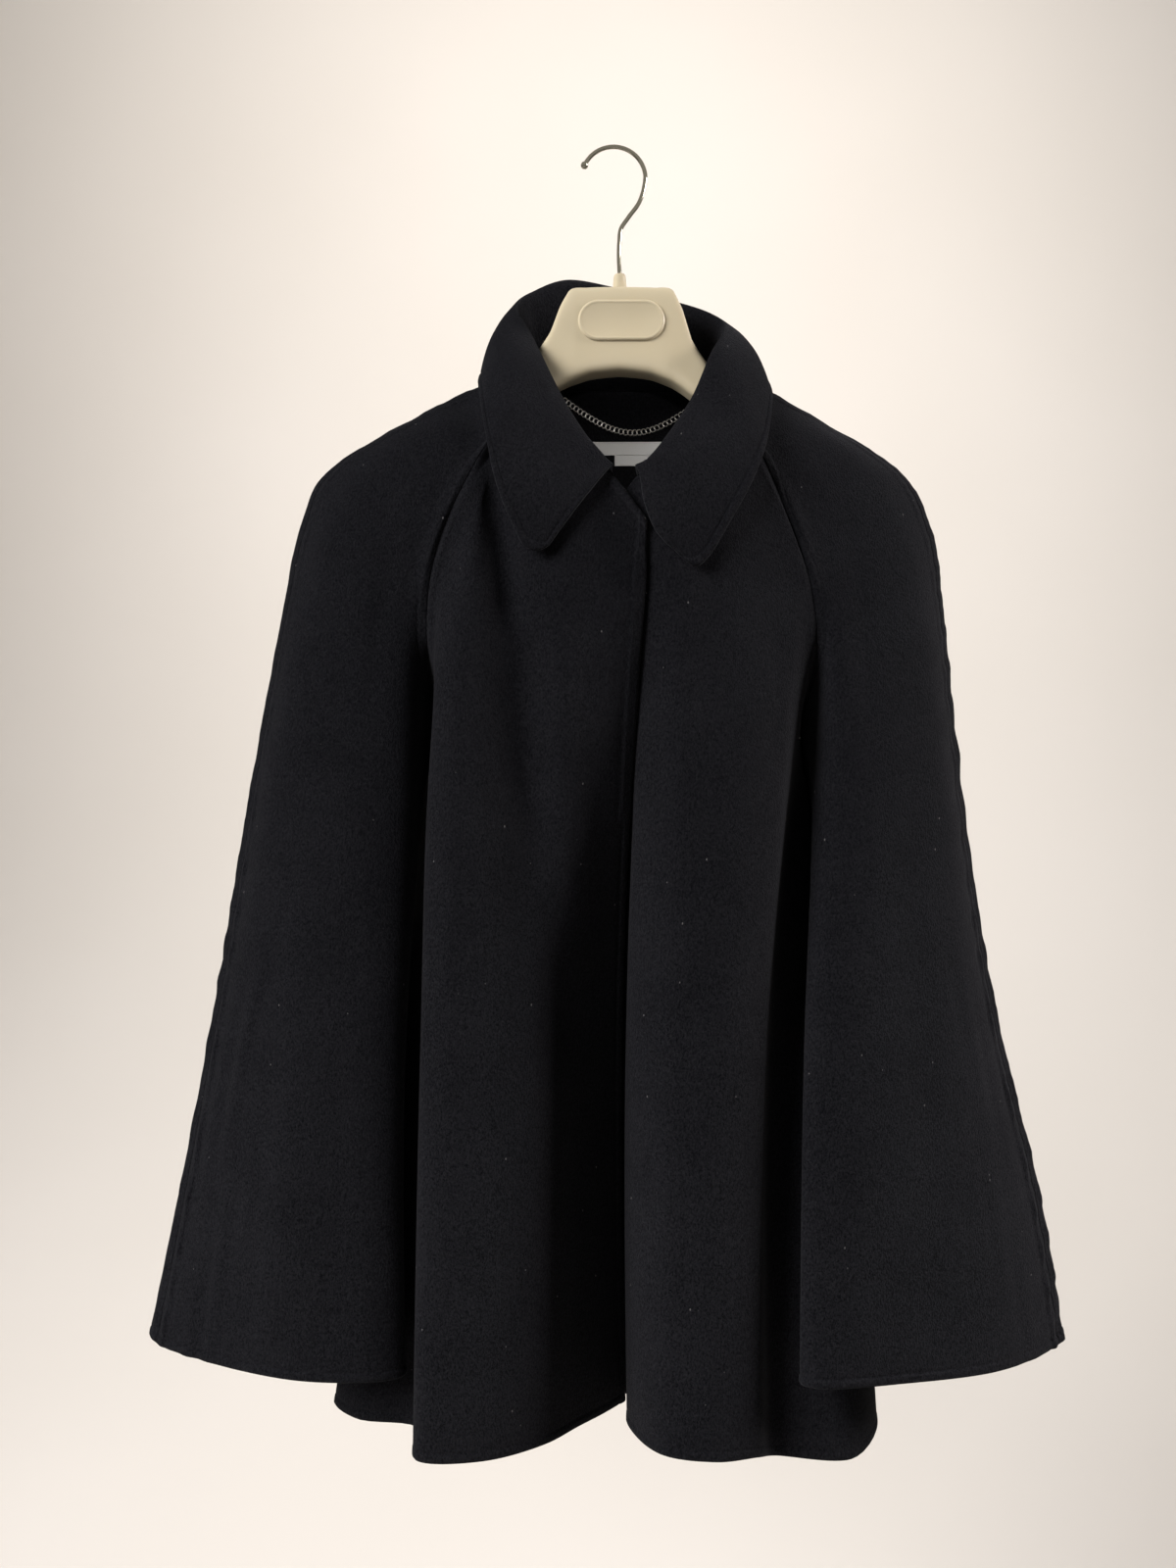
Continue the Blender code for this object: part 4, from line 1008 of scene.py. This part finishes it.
def link_tree(material):
    """Geometry Nodes: a link at each step of a path, each laid over the next like a tile."""
    bench = NodeBench(bpy.data.node_groups.new("curb_links", "GeometryNodeTree"))
    face, add = bench.tree.interface, bench.add
    face.new_socket("Path", in_out="INPUT", socket_type="NodeSocketGeometry")
    for label, value in LINK.items():
        socket = face.new_socket(label, in_out="INPUT", socket_type="NodeSocketFloat")
        socket.default_value = value / 1000
    face.new_socket("Links", in_out="OUTPUT", socket_type="NodeSocketGeometry")
    given = add("NodeGroupInput").outputs

    long, wide = (bench.sums("SUBTRACT", given[way], given["Wire"]) for way in ("Long", "Wide"))
    size = add("ShaderNodeCombineXYZ", X=long, Y=wide, Z=1).outputs[0]
    half = add("ShaderNodeVectorMath", {"operation": "SCALE"}, Vector=size, Scale=0.5)
    ring = add("GeometryNodeCurvePrimitiveCircle", Resolution=18, Radius=1).outputs["Curve"]
    oval = add("GeometryNodeTransform", Geometry=ring, Scale=half.outputs["Vector"]).outputs[0]
    wire_radius = bench.sums("MULTIPLY", given["Wire"], 0.5)
    wire = add("GeometryNodeCurvePrimitiveCircle", Resolution=8, Radius=wire_radius)
    link = add("GeometryNodeCurveToMesh", Curve=oval, Profile_Curve=wire.outputs["Curve"])

    path = add("GeometryNodeMeshToCurve", Mesh=given["Path"]).outputs[0]
    steps = add(
        "GeometryNodeResampleCurve", {"mode": "LENGTH"}, Curve=path, Length=given["Pitch"]
    )
    way = add("GeometryNodeInputTangent").outputs[0]
    aim = add("FunctionNodeAlignRotationToVector", {"axis": "X"}, Vector=way).outputs[0]
    roll_by = add("ShaderNodeCombineXYZ", **dict(zip("XYZ", map(math.radians, LINK_ROLL))))
    turned = add(
        "FunctionNodeRotateRotation", {"rotation_space": "LOCAL"}, Rotation=aim,
        Rotate_By=roll_by.outputs[0],
    )
    put = add(
        "GeometryNodeInstanceOnPoints", Points=steps.outputs["Curve"],
        Instance=link.outputs["Mesh"], Rotation=turned.outputs[0],
    )
    real = add("GeometryNodeRealizeInstances", Geometry=put.outputs[0]).outputs[0]
    smooth = add("GeometryNodeSetShadeSmooth", Geometry=real).outputs[0]
    painted = add("GeometryNodeSetMaterial", Geometry=smooth, Material=material).outputs[0]
    add("NodeGroupOutput", Links=painted)
    return bench.tree


def made_by_tree(name, path_points, tree):
    """Runs a tree on a path of points in metres, and keeps its result as a plain mesh."""
    path_mesh = bpy.data.meshes.new(name + "_path")
    steps = [(k, k + 1) for k in range(len(path_points) - 1)]
    path_mesh.from_pydata([tuple(p) for p in path_points], steps, [])
    piece = bpy.data.objects.new(name, path_mesh)
    bpy.context.scene.collection.objects.link(piece)
    piece.modifiers.new("links", "NODES").node_group = tree
    graph = bpy.context.evaluated_depsgraph_get()
    mesh = bpy.data.meshes.new_from_object(piece.evaluated_get(graph))
    piece.modifiers.clear()
    piece.data = mesh
    return piece


CHAIN_STEEL = polished("chain_steel", (0.90, 0.89, 0.87), 0.10, 0.14)
marks_x, marks_z = zip(*CHAIN_PLACES)
chain_x = np.linspace(marks_x[0], marks_x[-1], 80)
chain_z = curve_through(marks_x, [(z,) for z in marks_z], chain_x)[:, 0]
chain_path = [inside_the_back(x, z, CHAIN_AHEAD) / 1000 for x, z in zip(chain_x, chain_z)]
chain = made_by_tree("neck_chain_links", chain_path, link_tree(CHAIN_STEEL))
dress(chain, "neck_chain")


# ------------------------------
# Hanger. One moulding in satin cream plastic: a flat plate between the shoulders,
# faceted towards its sides, and two rounded arms that broaden under the sleeves.

HANGER_STATIONS = (
    # x, top, bottom, half depth, back of the plate's middle, squareness
    (-203.5, -237.7, -246.6, 2.5, 2, 1),
    (-200.5, -232.3, -251.1, 5.4, 2, 1),
    (-193, -225.8, -256.4, 9.4, 2, 1),
    (-160, -205, -242.5, 13.8, 2, 1),
    (-125, -186.3, -222.8, 13.8, 2, 1),
    (-92, -169.7, -200.3, 11.9, 2, 1),
    (-72, -166.2, -191.8, 9.9, 2, 1),
    (-64, -160.2, -186.8, 10.9, 1.9, 0.83),
    (-56, -146.1, -178.9, 11.9, 0.5, 0.48),
    (-46, -131.1, -172.9, 12, 0, 0.36),
    (-39.5, -114.1, -168.9, 12, 0, 0.32),
    (-33, -103.1, -165.9, 12, 0, 0.32),
    (-20, -101.6, -161.4, 12, 0, 0.32),
    (2, -101.1, -158.9, 12, 0, 0.32),
    (24, -101.6, -161.4, 12, 0, 0.32),
    (38, -103.1, -166.9, 12, 0, 0.32),
    (44.5, -116.1, -170.9, 12, 0, 0.32),
    (51, -137.1, -175.9, 12, 0, 0.36),
    (61, -151.6, -182.4, 11.9, 0.7, 0.52),
    (69, -161.2, -187.8, 10.9, 1.9, 0.85),
    (78, -168.2, -193.8, 9.9, 2, 1),
    (96, -170.6, -201.2, 11.9, 2, 1),
    (122, -185.2, -221.8, 13.8, 2, 1),
    (155, -204.2, -241.8, 13.8, 2, 1),
    (188, -225.8, -256.4, 9.4, 2, 1),
    (196, -232.9, -251.7, 5.4, 2, 1),
    (199, -238, -246.9, 2.5, 2, 1),
)
HANGER_SIDES = 72
SHARP_FROM = 38
FACETS = (-29, 34)
FACET_WIDE, FACET_DEEP = 16, 1.3
PLATE_X, PLATE_HALF, PLATE_FADE = 2, 62, 12
PLATE_FRONT = -12
STRAIGHTER = 0.6


def cream_plastic(name):
    bench = PaintBench(name)
    colour = bench.blend(bench.noise(14, 2), (0.52, 0.435, 0.29, 1), (0.59, 0.505, 0.35, 1))
    grain = bench.noise(900, 3)
    return bench.finish(
        grain, 0.12, 0.0002, Base_Color=colour, Subsurface_Weight=0.08,
        Roughness=bench.ranged(grain, To_Min=0.36, To_Max=0.50),
        Subsurface_Radius=(0.004, 0.003, 0.002),
    )


PLASTIC = cream_plastic("cream_plastic")


def hanger_ring(x, top, bottom, half, back, square):
    """A section of the hanger: round where square is 1, and boxy where it is less."""
    middle, tall = (top + bottom) / 2, (top - bottom) / 2
    ring = []
    for k in range(HANGER_SIDES):
        angle = 2 * math.pi * (k + 0.5) / HANGER_SIDES
        c, s = math.cos(angle), math.sin(angle)
        y = back + half * math.copysign(abs(c) ** square, c)
        z = middle + tall * math.copysign(abs(s) ** square, s)
        ring.append((x, y, z))
    return ring


def loft(name, rings, material):
    """A closed skin over rings of points in millimetres, capped at both ends."""
    build = bmesh.new()
    laid = [[build.verts.new([c / 1000 for c in p]) for p in ring] for ring in rings]
    count = len(laid[0])
    for one, two in zip(laid, laid[1:]):
        for k in range(count):
            m = (k + 1) % count
            build.faces.new([one[k], one[m], two[m], two[k]])
    for end in (laid[0], laid[-1]):
        centre = build.verts.new(sum((v.co for v in end), end[0].co * 0) / count)
        for k in range(count):
            build.faces.new([end[k], end[(k + 1) % count], centre])
    bmesh.ops.recalc_face_normals(build, faces=build.faces)
    mesh = bpy.data.meshes.new(name)
    build.to_mesh(mesh)
    build.free()
    piece = placed(name, mesh, material)
    mesh.set_sharp_from_angle(angle=math.radians(SHARP_FROM))
    return piece


stations = np.array(HANGER_STATIONS)
tips = (-203.5, -193, 188, 199)
fine_x = np.unique(np.concatenate(
    [np.linspace(*ends, count) for *ends, count in zip(tips, tips[1:], (8, 240, 8))]
))
between = curve_through(stations[:, 0], stations[:, 1:], fine_x)
straight = np.array([np.interp(fine_x, stations[:, 0], stations[:, k]) for k in range(1, 6)]).T
plate = STRAIGHTER * smooth_step((PLATE_HALF - abs(fine_x - PLATE_X)) / PLATE_FADE)[:, None]
shape = between * (1 - plate) + straight * plate
shape[:, 4] = np.clip(shape[:, 4], 0.3, 1)
rings = []
for x, (top_z, low_z, half, back, square) in zip(fine_x, shape):
    lean = min(max(0, x - FACETS[1], FACETS[0] - x) / FACET_WIDE, 1)
    rings.append(hanger_ring(x, top_z, low_z, half - FACET_DEEP * lean, back, square))
hanger = loft("hanger_moulding", rings, PLASTIC)
dress(hanger, "hanger_body")


# ------------------------------
# Badge. A raised stadium on the plate, with a slanted rim and a bare sunk face.

BADGE_WIDE, BADGE_HIGH = 59.5, 28
BADGE_X, BADGE_Z = 2.5, -126
BADGE_TURN = np.radians(np.linspace(0, 180, 33))
BADGE_STEPS = (
    # inset from the outline, depth in front of the plate
    (0.0, 0.3), (0.1, 0.9), (0.7, 1.6), (1.3, 1.9), (2.0, 1.9), (2.5, 1.6), (2.8, 1.5),
)

badge_rings = []
for inset, ahead in BADGE_STEPS:
    ring = []
    reach = BADGE_HIGH / 2 - inset
    for centre in (1, -1):
        for turn in BADGE_TURN - centre * math.pi / 2:
            x = BADGE_X + centre * (BADGE_WIDE - BADGE_HIGH) / 2 + reach * math.cos(turn)
            ring.append((x, PLATE_FRONT - ahead, BADGE_Z + reach * math.sin(turn)))
    badge_rings.append(ring)
badge = loft("hanger_badge_face", badge_rings, PLASTIC)
dress(badge, "hanger_badge")


# ------------------------------
# Boss and hook. The boss is moulded with the plate. The hook is a 3 mm chromed wire,
# bent to a question mark, with a ball on its tip so that it doesn't catch the cloth.

BOSS_PROFILE = (
    # radius, height
    (5.3, -100.6), (5.3, -99.4), (4.7, -98.2), (4.4, -94), (4.1, -91.4), (3.6, -90.3),
    (2.4, -90.0),
)
HOOK_X = 1.6
HOOK_BEND = np.array([-2.7, -23.5])
HOOK_RADIUS = 22.2
HOOK_BEND_ENDS = (155, 8)
HOOK_NECK = ((18.6, -29), (15, -40), (7.5, -50.5), (2.4, -58.5), (1.3, -68), (1.6, -90.2))
WIRE_RADIUS, BALL_RADIUS = 1.5, 2.6


def circle(count):
    """Pairs of a cosine and a sine, all round."""
    return [(math.cos(a), math.sin(a)) for a in np.linspace(0, 2 * math.pi, count + 1)[:-1]]


boss = loft("hanger_boss_turned", [
    [(HOOK_X + radius * c, radius * s, z) for c, s in circle(40)] for radius, z in BOSS_PROFILE
], PLASTIC)
dress(boss, "hanger_boss")

CHROME = polished("chromed_wire", (0.36, 0.34, 0.28), 0.05, 0.12)
turns = np.radians(np.linspace(*HOOK_BEND_ENDS, 25))
bend = HOOK_BEND + HOOK_RADIUS * np.array([np.cos(turns), np.sin(turns)]).T
wire_path = np.concatenate([bend, HOOK_NECK])
wire_run = run_along(wire_path)
bent = curve_through(wire_run, wire_path, np.linspace(0, wire_run[-1], 150))
hook = loft("chromed_hook", [
    [(x - side_x * c, WIRE_RADIUS * s, z + side_z * c) for c, s in circle(24)]
    for (x, z), (side_z, side_x) in zip(bent, WIRE_RADIUS * unit(np.gradient(bent, axis=0)))
], CHROME)
build = bmesh.new()
build.from_mesh(hook.data)
tip = bmesh.ops.create_uvsphere(build, u_segments=32, v_segments=20, radius=BALL_RADIUS / 1000)
bmesh.ops.translate(build, verts=tip["verts"], vec=(bent[0][0] / 1000, 0, bent[0][1] / 1000))
build.to_mesh(hook.data)
build.free()
hook.data.shade_smooth()
dress(hook, "hanger_hook")


# ------------------------------
# Room. A seamless pale sweep, far enough behind for views from the back. A large window
# to the left and the room's right side light the jacket, one small lamp reaches into
# its neck, and another washes the sweep.

FLOOR_Z = -1.6
SWEEP_SIDES = (-6.0, 6.0)
SWEEP = (
    (-4.0, 0.0), (-1.0, 0.0), (0.6, 0.0), (1.6, 0.10), (2.35, 0.42), (2.85, 1.05),
    (3.08, 2.0), (3.15, 3.2), (3.15, 5.4),
)

bench = PaintBench("pale_sweep")
tint = bench.blend(bench.noise(0.9, 2), (0.70, 0.655, 0.60, 1), (0.78, 0.735, 0.69, 1))
bench.paint(Base_Color=tint, Roughness=0.95, Specular_IOR_Level=0.1)

sweep_line = curve_through(range(len(SWEEP)), SWEEP, np.linspace(0, len(SWEEP) - 1, 61))
mesh = bpy.data.meshes.new("pale_sweep")
mesh.from_pydata(
    [(x, y, FLOOR_Z + z) for y, z in sweep_line for x in SWEEP_SIDES], [],
    [(k, k + 1, k + 3, k + 2) for k in range(0, 2 * len(sweep_line) - 2, 2)],
)
placed("pale_sweep", mesh, bench.material)

SOFT_LIGHTS = (
    # name, place, aimed at, size, watts, spread in degrees, colour
    ("window", (-3.0, -2.0, 1.2), (0, 0, -0.6), 2.2, 64, 84, (0.98, 0.985, 1.0)),
    ("room_right", (2.3, -0.22, 0.45), (0.2, 0, -0.6), 0.8, 14, 64, (1.0, 0.97, 0.96)),
    ("neck_fill", (0.05, -1.5, -0.25), (0.012, 0, -0.21), 0.04, 0.008, 7, (1.0, 0.97, 0.93)),
    ("sweep_wash", (0.0, 0.7, 1.9), (0.0, 3.1, 0.75), 3.0, 84, 150, (1.0, 0.965, 0.93)),
)
for name, place, aim, size, watts, spread_angle, colour in SOFT_LIGHTS:
    lamp = bpy.data.lights.new(name, "AREA")
    lamp.shape = "SQUARE"
    lamp.size, lamp.energy, lamp.color = size, watts, colour
    lamp.spread = math.radians(spread_angle)
    holder = bpy.data.objects.new(name, lamp)
    holder.location = place
    way = np.array(aim) - np.array(place)
    holder.rotation_euler = (
        math.atan2(math.hypot(way[0], way[1]), -way[2]), 0, math.atan2(-way[0], way[1])
    )
    # The window stays out of the chrome, where it would bleach the thin wire.
    holder.visible_glossy = name != "window"
    bpy.context.scene.collection.objects.link(holder)

world = bpy.data.worlds.new("room")
world.use_nodes = True
bench = NodeBench(world.node_tree)
air = bench.tree.nodes["Background"]
bench.feed(air.inputs["Color"], (0.75, 0.86, 1.0, 1))
bench.feed(air.inputs["Strength"], 0.03)
rays, under = bench.add("ShaderNodeLightPath").outputs, air.outputs[0]
# The chrome mirrors the room's near walls, and the camera sees the far one.
for ray, colour in (("Glossy", (0.50, 0.48, 0.44, 1)), ("Camera", (0.74, 0.70, 0.65, 1))):
    wall = bench.add("ShaderNodeBackground", Color=colour)
    either = bench.add("ShaderNodeMixShader", Fac=rays[f"Is {ray} Ray"])
    bench.feed(either.inputs[1], under)
    bench.feed(either.inputs[2], wall.outputs[0])
    under = either.outputs[0]
bench.feed(bench.tree.nodes["World Output"].inputs["Surface"], under)
bpy.context.scene.world = world
bpy.context.scene.view_settings.view_transform = "Standard"
